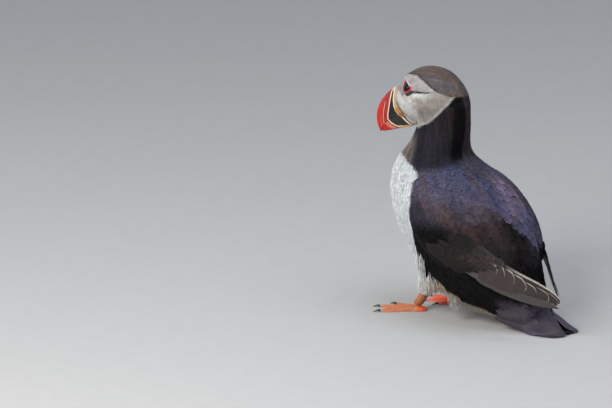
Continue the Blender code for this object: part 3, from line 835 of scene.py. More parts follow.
def plumage_look(name, roughness, specular, sheen, bump, mottle, barb_depth=0.0):
    """Colours from the mesh's tint, its pattern and painted light, broken up by noise, with barbs and
    down as bump.
    """
    look, nodes, links, _, down = mottled_look(
        name,
        {"Specular IOR Level": specular, "Sheen Weight": sheen, "Sheen Roughness": 0.45},
        {"Scale": 140.0, "Detail": 4.0, "Roughness": 0.6},
        {"Scale": 1800.0, "Detail": 3.0, "Roughness": 0.7},
        {"From_Min": 0.3, "From_Max": 0.7, "To_Min": 1 - mottle, "To_Max": 1 + mottle},
        {"To_Min": roughness - 0.1, "To_Max": roughness + 0.1},
    )
    relief = down.outputs["Fac"]
    if barb_depth:
        barb = add_node(nodes, "ShaderNodeAttribute", _attribute_name="barb")
        waves = add_node(nodes, "ShaderNodeMath", _operation="SINE")
        both = add_node(nodes, "ShaderNodeMath", _operation="MULTIPLY_ADD")
        both.inputs[1].default_value = barb_depth
        links.new(barb.outputs["Fac"], waves.inputs[0])
        links.new(waves.outputs["Value"], both.inputs[0])
        links.new(relief, both.inputs[2])
        relief = both.outputs["Value"]
    add_bump(nodes, links, relief, bump, 0.0003)
    return look


soft_look = plumage_look("soft_plumage", 0.7, 0.10, 0.03, 0.35, 0.16)
vane_look = plumage_look("vane_plumage", 0.55, 0.16, 0.0, 0.5, 0.14, barb_depth=0.6)
skin_look = plumage_look("under_plumage", 0.8, 0.15, 0.0, 0.6, 0.2)


# Skin and body coat

outside = outer_surface()
lie = lie_of(outside)


def coat_depth(points):
    """How far the skin lies under the tips of the feathers."""
    _, y, z = points.T
    depth = 1.2 + 1.3 * step(165, 135, z) - 1.4 * step(105, 125, y)
    return np.maximum(depth * step(3.5, 8.0, from_eye(points)), 0.3)


def add_skin():
    """The skin under the coat, which takes the place of all the nodes of flesh."""
    depth = coat_depth(outside.points) + furrow_share(outside.points) * 0.9
    points = outside.points - outside.normals * depth[:, None]
    points[:, 2] = np.maximum(points[:, 2], outside.points[:, 2].min() + 0.1)
    colours = markings_and_painted_light(outside.points)
    # Darker than the coat, most where the plumage is dark: painted shade under the feathers
    colours *= (0.6 + 0.35 * step(0.12, 0.35, colours.mean(axis=1)))[:, None]
    made = mesh_piece("skin", points, outside.triangles, skin_look, colours)
    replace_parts(made, *FLESH)


add_skin()


# The body's coat: vanes like shingles, and fine down over them

VANE_SHARES = (0.15, 0.4, 0.65, 0.85, 0.95, 1.0)
VANE_HALVES = ((0.5, 0.5), (0.9, 0.9), (1.0, 1.0), (0.84, 0.84), (0.52, 0.52))


def vane_style(fringe, strength):
    """A body feather whose edges and tip take so much of the fringe's colour."""

    def tint(across, share):
        return strength * np.maximum(np.abs(across) > 0.95, share > 0.9)

    return {
        "shares": VANE_SHARES,
        "halves": VANE_HALVES,
        "across": (-1.0, -0.75, 0.0, 0.75, 1.0),
        "dome": 0.1,
        "shaft": 0.03,
        "round": 0.18,
        "barb_run": 90.0,
        "barb_rise": 40.0,
        "fringe": fringe,
        "tint": tint,
    }


def body_sizes(points):
    """Length of the feathers that cover a place."""
    x, y, z = points.T
    on_wing = step(36, 42, np.abs(x)) * step(132, 122, z)
    length = 5.0 + 3.5 * step(150, 120, z)
    length = length + on_wing * (-2.5 + 6.0 * step(20, 75, y + 0.6 * (95 - z)))
    length = length + scapular_share(points) * 7
    return length + 3.0 * step(60, 30, z) * (1 - on_wing)


FRINGE_BLUE = np.array((1.5, 1.5, 1.6))  # times the feather's own colour
FRINGE_WARM = np.array((2.6, 2.2, 1.9))
FRINGE_WHITE = 0.75


def scaly_share(points):
    """1 where the long feathers beyond the back's ridge show their edges."""
    return scapular_share(points) * step(8, 2, points[:, 0])


def scapular_share(points):
    """1 on the long feathers between back and wing."""
    x, y, z = points.T
    return step(40, 34, np.abs(x)) * step(42, 56, y) * step(60, 68, z)


def region_names(points):
    """The coat piece to which a root belongs."""
    x, y, z = points.T
    white = inside_white(points) > -3
    names = np.where(x > 0, "side_left", "side_right").astype("<U12")
    names[(np.abs(x) < 27) & (y > 20)] = "back"
    names[(np.abs(x) < 34) & (y < 40) & white] = "breast"
    names[(z < 45) & white] = "belly"
    names[y > 96] = "rump"
    names[z > 138] = "neck_left"
    names[(z > 138) & (x < 0)] = "neck_right"
    names[z > 172] = "head_left"
    names[(z > 172) & (head_axes(points)[1] < 0)] = "head_right"
    return names


def varied(colours, amount):
    """Colours that differ at random in shade, and less in hue."""
    shade = 1 + amount * random.standard_normal(len(colours))[:, None]
    hue = 1 + amount * 0.35 * random.standard_normal((len(colours), 3))
    return np.clip(colours * np.clip(shade, 0.4, 1.8) * hue, 0.002, 0.9)


def under_thigh(points):
    """The lower ends of the thighs, over which feathers would stick out."""
    return (points[:, 2] < 27) & (points[:, 1] < 26) & (np.abs(points[:, 0]) > 12)


VANE_SEEDS = 1.1  # tried to a square millimetre
VANE_GAP = 0.36  # of a feather's length between roots
VANE_WIDTH, SCALY_WIDTH = 0.62, 0.48  # of a feather's length


def vane_places():
    """Roots of the body's vanes, with their length."""
    places, faces = outside.scatter(np.full(len(outside.points), VANE_SEEDS))
    _, y, z = places.T
    free = (face_share(places)[0] < 0.5) & (z < 178) & (y < 122) & ~under_thigh(places)
    places, faces = places[free], faces[free]
    length = body_sizes(places)
    kept = spaced(places, length * VANE_GAP)
    return places[kept], faces[kept], length[kept]


def fringe_colours(places, colours, pale):
    """Brighter edges: bluish on the back, warm at the wing's rear and white on the underparts."""
    x, y, z = places.T
    warm = step(50, 66, y) * step(50, 60, z) * step(30, 38, np.abs(x))
    brighter = blended(FRINGE_BLUE, FRINGE_WARM, warm)
    return np.where(pale[:, None], FRINGE_WHITE, colours * brighter + 0.002)


def add_body_vanes(coats):
    """Feathers like shingles on all but the face, the thighs' lower ends and the tail."""
    places, faces, length = vane_places()
    count = len(places)
    length = length * (1 + 0.1 * random.standard_normal(count))
    swing = 0.07 * random.standard_normal(count)
    lines = walk(outside, lie, places, faces, length, VANE_SHARES, swing)
    keys = np.array((0.0, *VANE_SHARES))
    sunk = 0.1 + 0.45 * (1 - scaly_share(places))
    height = -coat_depth(places)[:, None] * 0.8 * (1 - keys) ** 1.4 - sunk[:, None]
    height = height + 0.07 * random.standard_normal(count)[:, None] * keys
    colours = varied(markings_and_painted_light(places + (lines[0][:, 3] - places) * 0.6), 0.08)
    pale = white_share(places) > 0.5
    scaly = scaly_share(places) > 0.5
    fringes = fringe_colours(places, colours, pale)
    regions = region_names(places)
    for chosen, strength in ((pale, 0.3), (scaly & ~pale, 0.8), (~scaly & ~pale, 0.15)):
        for region in sorted(set(regions[chosen])):
            some = chosen & (regions == region)
            lay_vanes(
                coats.setdefault("vanes_" + region, Coat()),
                tuple(values[some] for values in lines),
                length[some] * np.where(scaly[some], SCALY_WIDTH, VANE_WIDTH),
                height[some],
                vane_style(fringes[some][:, None], strength),
                colours[some],
                unwrapped(places[some]),
            )


def down_sizes(points):
    """Length, width and number to a square millimetre of the fine feathers."""
    z = points[:, 2]
    face, _, _ = face_share(points)
    length = 2.3 + 1.2 * step(182, 165, z) + 2.6 * step(148, 125, z) + 0.6 * step(60, 35, z)
    length = length * (1 - face) + 1.5 * face
    width = 0.30 + 0.10 * step(182, 165, z) + 0.12 * step(148, 125, z)
    width = width * (1 - face) + 0.27 * face
    cover = 1.5 - 0.3 * step(150, 138, z) - 0.8 * scaly_share(points)
    return length, width, cover / (length * width * 0.5)


def down_number(points):
    """How many down feathers root in a square millimetre: none at the eye, furrow and tail's end."""
    _, _, number = down_sizes(points)
    number = number * step(3.6, 4.6, from_eye(points)) * (1 - furrow_share(points))
    return number * ~in_eye_patch(points) * ~under_thigh(points) * step(124, 118, points[:, 1])


def add_down(coats):
    """Fine down over the vanes, shortest on the face and smoothest on the white breast."""
    places, faces = outside.scatter(down_number(outside.points))
    count = len(places)
    length, width, _ = down_sizes(places)
    length = length * (1 + 0.15 * random.standard_normal(count))
    swing = 0.12 * random.standard_normal(count)
    sink = coat_depth(places) * 0.8
    uneven = 1 - 0.6 * white_share(places) * step(160, 145, places[:, 2])
    rise = 0.12 + 0.25 * random.random(count) * np.minimum(length / 4, 1) * uneven
    colours = varied(markings_and_painted_light(places), 0.12 * uneven[:, None])
    regions = region_names(places)
    for region in sorted(set(regions)):
        some = regions == region
        shares = LEAF_SHARES[1 if region.startswith("head") else 2]
        lines = walk(outside, lie, places[some], faces[some], length[some], shares, swing[some])
        coat = coats.setdefault("down_" + region, Coat())
        lay_leaves(coat, lines, width[some], sink[some], rise[some], colours[some])


STRAND_WIDTH, STRAND_SINK, STRAND_RISE = 0.48, 1.0, 0.2
STRAND_ROOTS = (  # place, spread, way, mean length, number and colour of loose strands
    ((34, 9, 52), (2, 5, 9), (0.0, 0.20, -1.0), 12, 200, (0.60, 0.60, 0.60)),
    ((33, 12, 38), (3, 7, 4), (0.0, 0.25, -1.0), 8, 170, (0.56, 0.54, 0.51)),
    ((31, 24, 33), (3, 8, 5), (0.0, 0.80, -0.6), 9, 260, (0.42, 0.34, 0.27)),
    ((29, 39, 25), (4, 7, 3), (0.0, 0.80, -0.5), 10, 180, (0.36, 0.30, 0.25)),
    ((31, 41, 24), (3, 4, 2), (0.15, 0.45, -0.85), 10, 300, (0.58, 0.55, 0.52)),
    ((26, 62, 14), (4, 10, 2), (0.0, 0.97, -0.2), 9, 140, (0.36, 0.31, 0.25)),
    ((18, 92, 5), (4, 12, 1), (-0.1, 0.99, -0.1), 9, 120, (0.44, 0.41, 0.38)),
)


def strand_lines(place, spread, way, mean, number, mirror):
    """Centrelines of strands that root about a place and droop, but not onto the floor."""
    keys = np.array((0.0, *LEAF_SHARES[2]))
    places = np.array(place) + np.array(spread) * random.standard_normal((number, 3)) * 0.6
    places, faces = outside.nearest(places * mirror)
    length = mean * (0.55 + 0.6 * random.random(number))
    ways = unit(np.array(way) * mirror + 0.13 * random.standard_normal((number, 3)))
    normals = outside.values_at(outside.normals, places, faces)
    ways = unit(ways - normals * np.minimum((ways * normals).sum(axis=1, keepdims=True), 0))
    run = (keys * length[:, None])[..., None]
    line = places[:, None] + ways[:, None] * run + normals[:, None] * 0.06 * run
    line[..., 2] = np.maximum(line[..., 2] - 0.018 * run[..., 0] ** 2, 1.0)
    facing = np.repeat(normals[:, None], len(keys), axis=1)
    return line, facing, np.gradient(line, axis=1) / np.maximum(length, 1)[:, None, None]


def add_strands(coats):
    """Loose strands that hang off the thighs, the belly's edge and the vent."""
    coat = coats.setdefault("strands", Coat())
    for place, spread, way, mean, number, colour in STRAND_ROOTS:
        for side in SIDES.values():
            lines = strand_lines(place, spread, way, mean, number, np.array((side, 1, 1)))
            sizes = (np.full(number, size) for size in (STRAND_WIDTH, STRAND_SINK, STRAND_RISE))
            lay_leaves(coat, lines, *sizes, varied(np.tile(colour, (number, 1)), 0.15))


SLOT_OF = {
    "strands": "white_plumage",
    "head_left": "face_plumage",
    "head_right": "face_plumage",
    "breast": "white_plumage",
    "belly": "white_plumage",
}

coats = {}
add_body_vanes(coats)
add_down(coats)
add_strands(coats)
for key, coat in coats.items():
    kind, region = key.split("_", 1) if "_" in key else (key, key)
    look = vane_look if kind == "vanes" else soft_look
    coat.piece(key, look, SLOT_OF.get(region, "dark_plumage"))


# Flight feathers, laid on the plates that the CAD gives for them


PLATE_KNOTS, KNOT_REACH = 13, 0.08  # sections along a plate, and how far each looks
FACE_TURN = 0.2  # triangles that face outwards more than this are its outer face


class Plate:
    """A folded wing's flight feathers in the CAD: t runs to the wing's tip and c up across it."""

    def __init__(self, node, side):
        points, triangles = node_mesh(node)
        normals = vertex_normals(points, triangles)
        self.middle = points.mean(axis=0)
        _, _, axes = np.linalg.svd(points - self.middle)
        self.along = axes[0] * np.sign(axes[0][1])
        self.out = axes[2] * np.sign(axes[2][0] * side)
        self.up = np.cross(self.out, self.along)
        self.up *= np.sign(self.up[2])
        t = (points - self.middle) @ self.along
        c = (points - self.middle) @ self.up
        o = (points - self.middle) @ self.out
        self.start, self.length = t.min(), t.max() - t.min()
        self.bins = np.linspace(0, 1, PLATE_KNOTS)
        share = (t - self.start) / self.length
        near = [np.abs(share - b) < KNOT_REACH for b in self.bins]
        self.low = np.array([c[n].min() for n in near])
        self.high = np.array([c[n].max() for n in near])
        self.level = np.array([np.median(o[n]) for n in near])
        outer = (normals @ self.out)[triangles].mean(axis=1) > FACE_TURN
        self.face = Surface(points, triangles[outer])

    def place(self, t, c):
        """Places on the outer face, t from 0 to 1 along and c from -1 to 1 across."""
        low, high = np.interp(t, self.bins, self.low), np.interp(t, self.bins, self.high)
        flat = (
            self.middle
            + (self.start + t * self.length)[:, None] * self.along
            + ((low + high) / 2 + c * (high - low) / 2)[:, None] * self.up
            + (np.interp(t, self.bins, self.level) + 4)[:, None] * self.out
        )
        found, faces = self.face.nearest(flat)
        normals = unit(self.face.values_at(self.face.normals, found, faces) + 2 * self.out)
        return flat + ((found - flat) @ self.out)[:, None] * self.out, normals

    def half_chord(self, t):
        """Half the plate's width across, in mm."""
        return (np.interp(t, self.bins, self.high) - np.interp(t, self.bins, self.low)) / 2


QUILL_SHARES = (0.04, 0.2, 0.4, 0.6, 0.75, 0.86, 0.93, 0.96, 0.98, 1.0)


def quill_style(low, high, fringe, tint, blunt=5.0):
    """A flight feather with vanes of these shares of its width below and above the shaft."""
    keys = np.array(QUILL_SHARES[:-1])
    taper = (1 - keys**blunt) ** 0.5 * np.minimum(keys / 0.12, 1) ** 0.5
    return {
        "shares": QUILL_SHARES,
        "halves": [(2 * low * k, 2 * high * k) for k in taper],
        "across": (-1.0, -0.965, -0.91, 0.0, 0.91, 0.965, 1.0),
        "under": (0.82, 0.0, -0.82),
        "dome": 0.03,
        "shaft": 0.02,
        "round": 0.10,
        "barb_run": 160.0,
        "barb_rise": 70.0,
        "fringe": np.array(fringe),
        "tint": tint,
    }


FLIGHT_BROWN = np.array((0.038, 0.027, 0.025))
FLIGHT_EDGE = (0.42, 0.37, 0.34)
STRIP_BROWN = np.array((0.052, 0.039, 0.040))
RIM_CREAM = (0.60, 0.52, 0.44)


def rim_tint(above, below, tip, start=0.0):
    """How much of the fringe's colour each edge and the tip take."""

    def tint(across, share):
        edge = np.where(across > 0.95, above, 0) + np.where(across < -0.95, below, 0)
        end = np.where(share > 0.99, tip, above * (share > 0.97) * (across > 0.05))
        return np.where(share > start, np.maximum(edge, end), 0)

    return tint


SECONDARY_TIPS = (  # t and c of each tip, from the wing's end forwards
    (0.95, 0.52), (0.856, -0.08), (0.735, -0.50), (0.615, -0.74), (0.50, -0.84), (0.39, -0.88),
    (0.285, -0.92),
)  # fmt: skip
RIM_T = (0.0, 0.28, 0.41, 0.565, 0.747, 0.863, 0.97)
RIM_C = (0.85, 1.02, 0.98, 1.10, 1.42, 1.60, 2.3)
STRIP_T = (-0.24, 0.0, 0.2, 0.36, 0.5, 0.61, 0.71, 0.85, 0.985)
STRIP_C = (-0.75, -0.82, -0.88, -0.98, -1.0, -0.99, -0.78, -0.43, 0.25)
INNER_PRIMARIES, OUTER_PRIMARIES = 4, 3


class Quills:
    """Flight feathers laid on one plate, gathered for one piece."""

    def __init__(self, plate, side):
        self.plate = plate
        self.coat = Coat()
        self.flip = -side  # across runs down the left plate and up the right one

    def add(self, ts, cs, width, low, high, lift, tint, fringe, colour, blunt=5.0):
        """One feather along t and c, with shares low and high of its width below and above."""
        low, high = (low, high) if self.flip > 0 else (high, low)

        def sided(across, share):
            return tint(across * self.flip, share)

        keys, knots = (0.0, *QUILL_SHARES), np.linspace(0, 1, len(ts))
        places, normals = self.plate.place(np.interp(keys, knots, ts), np.interp(keys, knots, cs))
        line = places + normals * lift
        style = quill_style(low, high, fringe, sided, blunt)
        lay_vane(self.coat, line, normals, width, style, colour[None], places[:1])


def add_secondaries(quills):
    """Broad feathers with oblique pale ends, the front ones on top."""
    plate = quills.plate
    for k, (t, c) in enumerate(SECONDARY_TIPS):
        high = np.interp(t - 0.2, RIM_T, RIM_C) + 0.02
        width = (high - c) * plate.half_chord(np.array([t - 0.15]))[0] * 1.18
        bared = max(0.65, (0.30 - t) / 0.3 + 0.75)  # the share from which no covert hides it
        root = max(t - 0.44, min(0.15, t - 0.2))
        tint = rim_tint(0.95, 0.1, 0.9, bared)
        brown = FLIGHT_BROWN * (0.88 + 0.05 * k)
        ts, cs = [root, (root + t) / 2, t], [c + 0.05, c, c]
        quills.add(ts, cs, width, 0.15, 0.85, -0.85 + 0.17 * k, tint, FLIGHT_EDGE, brown, blunt=14.0)


def add_flight_feathers(name, side):
    """Secondaries with oblique pale tips between the long inner and outer primaries."""
    plate = Plate(f"wing_{name}_flight", side)
    quills = Quills(plate, side)
    chord = 2 * plate.half_chord(np.array([0.3]))[0]
    tint = rim_tint(1.0, 0.1, 0.8, 0.25)
    for k in range(INNER_PRIMARIES):  # under the rest, with the cream rim above
        ts = [0.17, *RIM_T[1:]]
        cs = [0.3, *(c - 0.42 + 0.04 * k for c in RIM_C[1:])]
        lift = -1.2 - 0.2 * k
        quills.add(ts, cs, chord * 0.42, 0.5, 0.5, lift, tint, RIM_CREAM, FLIGHT_BROWN * 0.8)
    add_secondaries(quills)
    tint = rim_tint(0.45, 0.2, 0.5)
    for k in range(OUTER_PRIMARIES):  # along the lower edge
        ts = [t - 0.03 * k for t in STRIP_T]
        cs = [c + 0.10 * k for c in STRIP_C]
        lift = 0.35 - 0.12 * k
        quills.add(ts, cs, chord * 0.24, 0.5, 0.5, lift, tint, FLIGHT_EDGE, STRIP_BROWN)
    made = quills.coat.piece(f"flight_feathers_{name}", flight_look, "flight_feathers")
    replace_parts(made, f"wing_{name}_flight")
    add_coverts(name, side, plate)


COVERT_LENGTH, COVERT_WIDTH = 17.0, 7.2
COVERT_ROWS, COVERT_SPACING, COVERT_LOW = 8, 0.27, -1.25
COVERT_HIGH = {1: 1.5, -1: 0.8}  # how far up across the plate they reach, by side
STRAIGHT = 0.8  # a covert that would bend more than this at the wing's edge bridges it
COVERT_BROWN = np.array((0.009, 0.0065, 0.0065))
COVERT_FRINGE = np.array((0.070, 0.048, 0.040))


def covert_ends(side):
    """t, c and row of each covert's tip, from the rear row forwards."""
    ends = []
    for row in range(COVERT_ROWS):
        for c in np.arange(COVERT_LOW, COVERT_HIGH[side], COVERT_SPACING):
            c = c + 0.13 * (row % 2) + 0.04 * random.standard_normal()
            t = 0.145 + 0.17 * min(c, 0.9) - 0.052 * row + 0.012 * random.standard_normal()
            ends.append((t, c, row))
    return ends


def covert_line(plate, t, c, row):
    """The centreline of one covert over wing and flight feathers, and its normals."""
    keys = np.array((0.0, *VANE_SHARES))
    length = COVERT_LENGTH * (1 + 0.08 * random.standard_normal())
    start = t - length / plate.length
    places, normals = plate.place(start + (t - start) * keys, c - 0.10 + 0.10 * keys)
    lifted = 0.9 + 0.16 * row - 1.3 * (1 - keys) ** 2 + 0.7 * float(step(0.3, 0.8, c))
    found, faces = winged.nearest(places + normals * 6)
    ground = unit(winged.values_at(winged.normals, found, faces))
    line = found + ground * lifted[:, None]
    steps = unit(np.diff(line, axis=0))
    if (steps[1:] * steps[:-1]).sum(axis=1).min() < STRAIGHT:
        line = line[0] + (line[-1] - line[0]) * keys[:, None]
        ground = np.tile(unit(ground.mean(axis=0)[None]), (len(keys), 1))
    return line, ground


def add_coverts(name, side, plate):
    """Soft rows of feathers that cover the roots of the flight feathers."""
    coat = Coat()
    for t, c, row in covert_ends(side):
        line, ground = covert_line(plate, t, c, row)
        warm = float(step(-0.5, 0.5, c) * step(7, 3, row))
        style = vane_style(COVERT_FRINGE, 0.15 + 0.55 * warm)
        colours = varied(COVERT_BROWN[None] * (0.7 + 1.3 * warm), 0.15)
        lay_vane(coat, line, ground, COVERT_WIDTH, style, colours, line[:1])
    coat.piece(f"coverts_{name}", vane_look, "dark_plumage")


def winged_surface():
    """The outline over the plumage with both wings' flight feathers."""
    parts = [(outside.points, outside.triangles)]
    parts += [node_mesh(f"wing_{name}_flight") for name in SIDES]
    return Surface(*softened(joined(parts), VOXEL, rounds=3))


winged = winged_surface()
flight_look = plumage_look("flight_plumage", 0.45, 0.4, 0.0, 0.5, 0.12, barb_depth=0.9)
for side_name, side_sign in SIDES.items():
    add_flight_feathers(side_name, side_sign)


# Tail feathers

TAIL_WIDTH, TAIL_CLEAR = 8.5, 0.6  # across each feather and off the floor
TAIL_END = 146.0  # where the lobes' tips reach, as measured
TAIL_FRINGE = (0.085, 0.072, 0.115)
TAIL_SHARES = (0.03, 0.12, 0.24, 0.36, 0.48, 0.6, 0.72, 0.84, 0.93, 0.98, 1.0)
LOBES = {  # rows of roots and of tips, how far each lobe is lifted and how many feathers it has
    "far": (
        ((-19, 110, 11), (-17, 110, 17), (-14, 112, 19)),
        ((-17, 143, 0.8), (-15, 146, 0.9), (-11, 146, 1.0)),
        0.3,
        5,
    ),
    "near": (
        ((25, 84, 10), (26, 86, 20), (20, 92, 28), (6, 100, 26), (-2, 104, 24)),
        ((11, 142, 0.9), (5, 146, 1.2), (0, 146, 1.8), (-1, 140, 4.5), (-7, 129, 9.0)),
        0.9,
        11,
    ),
}


def along_row(row, share):
    """The place at a share of the way along a row of places."""
    keys = np.linspace(0, 1, len(row))
    return np.array([np.interp(share, keys, values) for values in np.array(row).T])


def tail_style():
    """Broad feathers with the vanes alike on both sides and a rounded tip."""
    keys = np.array(TAIL_SHARES[:-1])
    taper = (1 - keys**4) ** 0.5 * np.minimum(keys / 0.3, 1) ** 0.5
    return {
        **quill_style(0.5, 0.5, TAIL_FRINGE, rim_tint(0.5, 0.5, 0.6)),
        "shares": TAIL_SHARES,
        "halves": [(k, k) for k in taper],
    }


def tail_line(root, tip, floor, raised):
    """A tail feather's centreline over the plumage and down to the floor, and its normals."""
    keys = np.array((0.0, *TAIL_SHARES))
    line = root + (tip - root) * keys[:, None]
    line[:, 2] = tip[2] + (root[2] - tip[2]) * (1 - keys) ** 1.25
    found, faces = outside.nearest(line)
    normals = unit(outside.values_at(outside.normals, found, faces) + 0.4 * UP)
    clear = ((line - found) * normals).sum(axis=1)
    line = line + normals * np.maximum(raised - 1.6 * step(0.35, 0, keys) - clear, 0)[:, None]
    line[:, 2] = np.maximum(line[:, 2], floor + TAIL_CLEAR)
    flat = step(6, 1.5, line[:, 2])[:, None]
    return line, unit(normals * (1 - flat) + UP * flat)


def add_tail_feathers():
    """Long feathers over rump and tail: a near lobe, and a far one past a dark notch."""
    low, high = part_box("tail")
    floor, end = low[2] / MM - ORIGIN[2], high[1] / MM - ORIGIN[1]
    coat = Coat()
    for roots, tips, lift, count in LOBES.values():
        for order in np.arange(count) / (count - 1):
            tip = along_row(tips, order) + (0, end - TAIL_END, floor)
            line, normals = tail_line(along_row(roots, order), tip, floor, lift + 0.8 * order)
            colours = varied(TAIL[None], 0.16)
            lay_vane(coat, line, normals, TAIL_WIDTH, tail_style(), colours, line[:1])
    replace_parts(coat.piece("tail_feathers", flight_look, "dark_plumage"), "tail")


add_tail_feathers()


# Bill: the CAD's two halves with their grooves, plates and edges

BILL_BASE, BILL_TIP = 28.2, 66.1
BILL_HALF_WIDTH, BILL_TIP_HALF_WIDTH = 8.6, 1.5
TIP_LEVEL, CHIN_LEVEL = -2.8, -15.1
CULMEN_RISE, CULMEN_POWER = 27.9, 2.05
MOUTH_LEVEL, MOUTH_BOW = 0.6, 2.4
BULGE, BULGE_LEVEL, BULGE_REACH = 5.0, 8, 17  # of the base's curved edge, in side view
GAP = 0.3
BILL_RINGS, BILL_SEGMENTS = 150, 120
CHEVRON = {  # p and q of the cream line round the slate base, down each half of the bill
    "upper": (
        (29.0, 30.5, 34.0, 36.3, 40.0, 44.0, 48.4, 50.7, 52.5),
        (27, 24.5, 22.7, 19.6, 15.8, 11.3, 6.9, 3.4, 0),
    ),
    "lower": (
        (52.0, 50.6, 49.9, 48.3, 46.4, 44.4, 40.0, 34.0),
        (5.0, 2.0, -0.9, -3.5, -6.2, -8.2, -10.4, -12.6),
    ),
}
LINES = {  # pale grooves: how far ahead of the cream line, half width, strength and upper end
    "upper": ((5.3, 0.35, 0.75, 19), (8.3, 0.25, 0.35, 10)),
    "lower": ((2.7, 0.45, 0.6, 9), (4.6, 0.3, 0.5, 9)),
}
CERE_Q = (-12.0, -6.0, -3.3, 0.0, 2.4, 6.3, 10.1, 15.0, 19.8, 22.7, 25.0)
CERE_INNER = (31.0, 31.6, 31.0, 32.3, 32.8, 33.1, 33.3, 30.2, 27.4, 26.3, 25.8)
CERE_OUTER = (34.0, 35.4, 35.7, 36.9, 38.0, 38.5, 38.2, 36.0, 33.0, 31.0, 29.6)
RED = np.array((0.42, 0.016, 0.009))
BRICK = np.array((0.29, 0.018, 0.014))
DARK_RED = np.array((0.12, 0.012, 0.010))
PALE_GROOVE = np.array((0.70, 0.40, 0.28))
LINE_CREAM = np.array((0.78, 0.64, 0.48))
SLATE = np.array((0.0085, 0.008, 0.0105))
SLATE_LOW = np.array((0.024, 0.0196, 0.0176))
OCHRE = np.array((0.56, 0.38, 0.16))
CERE_TAN = np.array((0.68, 0.60, 0.49))
CERE_OLIVE = np.array((0.36, 0.27, 0.14))
ROSETTE = np.array((0.39, 0.168, 0.029))
ROSETTE_DARK = np.array((0.27, 0.085, 0.012))
MOUTH_DARK = np.array((0.035, 0.022, 0.014))
CHEEK_GREY = np.array((0.40, 0.38, 0.36))
TIP_HORN = np.array((0.22, 0.05, 0.02))


def edge_bulge(q):
    return BULGE * (1 - ((q - BULGE_LEVEL) / BULGE_REACH) ** 2)


def culmen(share):
    return TIP_LEVEL + CULMEN_RISE * np.maximum(1 - share**CULMEN_POWER, 0) ** (1 / CULMEN_POWER)


def mouth(share):
    fall = (TIP_LEVEL - MOUTH_LEVEL) * share**3
    return MOUTH_LEVEL + fall + MOUTH_BOW * np.sin(math.pi * share)


def chin(share):
    return CHIN_LEVEL + (TIP_LEVEL - CHIN_LEVEL) * share


def signed_power(values, exponent):
    return np.sign(values) * np.abs(values) ** exponent


def bill_half(name, end, edge):
    """Grid of places over one half of the bill, and their p, q and distance from its base."""
    keys = end * np.sin(math.pi / 2 * np.arange(BILL_RINGS) / (BILL_RINGS - 1))
    turn = math.pi * np.arange(BILL_SEGMENTS) / (BILL_SEGMENTS - 1)
    angles = math.pi * (0.5 - 0.5 * np.cos(turn))
    share, angle = np.meshgrid(keys, angles, indexing="ij")
    upward = 1 if name == "upper" else -1
    flat = mouth(share) + upward * GAP / 2
    height = edge(share) - flat
    width = BILL_HALF_WIDTH + (BILL_TIP_HALF_WIDTH - BILL_HALF_WIDTH) * share**0.8
    width = width * (0.25 + 0.75 * np.minimum(np.abs(height) / 8, 1))
    q = flat + height * np.sin(angle) ** 0.95
    p = BILL_BASE + edge_bulge(q) * (1 - share) + (BILL_TIP - BILL_BASE) * share
    side = width * signed_power(np.cos(angle), 0.8)
    return share, p, side, q


def band(values, middle, half, soft=0.25):
    """1 within half of the middle, 0 outside."""
    return 1 - step(half - soft, half + soft, np.abs(values - middle))


def jaw_colours(colours, p, q):
    """The corner of the mouth below the rosette: feathered cheek, a dark line and a cream line."""
    inner, outer = np.interp(q, CERE_Q, CERE_INNER), np.interp(q, CERE_Q, CERE_OUTER)
    low = step(0.5, -1.5, q)
    colours = blended(colours, CHEEK_GREY, step(inner + 0.6, inner - 0.3, p) * low)
    colours = blended(colours, MOUTH_DARK, band(p, inner + 1.3, 0.9) * low)
    return blended(colours, LINE_CREAM, band(p, outer - 1.2, 0.8) * low)


def bill_finish(name, share, p, q):
    """Colour and relief of one half of the bill."""
    shape = p.shape
    ahead = -inside_edge(p.ravel(), q.ravel(), *CHEVRON[name]).reshape(shape)
    rough = noise(p * 1.3, q * 1.3 + 50) - 0.5
    fine = noise(p * 4.1 + 30, q * 4.1) - 0.5
    slate = blended(SLATE, SLATE_LOW, step(7, 0, q + 4 * rough))
    start = 5.3 if name == "upper" else 1.7
    red = blended(BRICK, RED, step(start + 0.2, start + 2.6, ahead + rough))
    red = blended(red, DARK_RED, band(ahead, start - 0.9, 0.5, 0.4) * 0.75)
    if name == "lower":
        paler = band(ahead, 4.4, 1.6, 0.6) * step(0, 2, rough + 1) * 0.45
        red = blended(red, PALE_GROOVE * 0.7, paler)
    colours = blended(slate, red, step(0.2, 0.7, ahead))
    relief = 0.10 * fine
    for middle, half, strength, top in LINES[name]:
        line = band(ahead, middle, half) * step(top, top - 3, q)
        colours = blended(colours, PALE_GROOVE, line * strength)
        relief = relief - 0.3 * band(ahead, middle, half, 0.35)
    rim_width = 0.45 if name == "upper" else 0.50
    colours = blended(colours, LINE_CREAM, band(ahead, 0.0, rim_width))
    relief = relief + 0.3 * band(ahead, 0.0, 0.5, 0.5) - 0.12 * step(0.0, -2.0, ahead)
    if name == "upper":
        colours = blended(colours, TIP_HORN, step(0.93, 0.985, share))
    else:
        under = step(-5.0, -8.0, q) * step(47, 44, p) * step(-1.9, -1.2, ahead)
        colours = blended(colours, OCHRE, under)
    colours = jaw_colours(colours, p, q)
    return colours * (1 + 0.22 * rough + 0.12 * fine)[..., None], relief


def capped_grid(rings, segments):
    """Triangles of a grid of rings closed across each ring's ends and over its first and last."""
    faces = []
    count = rings * segments

    def at(k, j):
        return k * segments + j % segments

    for k in range(rings - 1):
        for j in range(segments):
            faces.append((at(k, j), at(k + 1, j), at(k + 1, j + 1)))
            faces.append((at(k, j), at(k + 1, j + 1), at(k, j + 1)))
    for j in range(segments):
        faces.append((count, at(0, j), at(0, j + 1)))
        faces.append((count + 1, at(rings - 1, j + 1), at(rings - 1, j)))
    return np.array(faces)


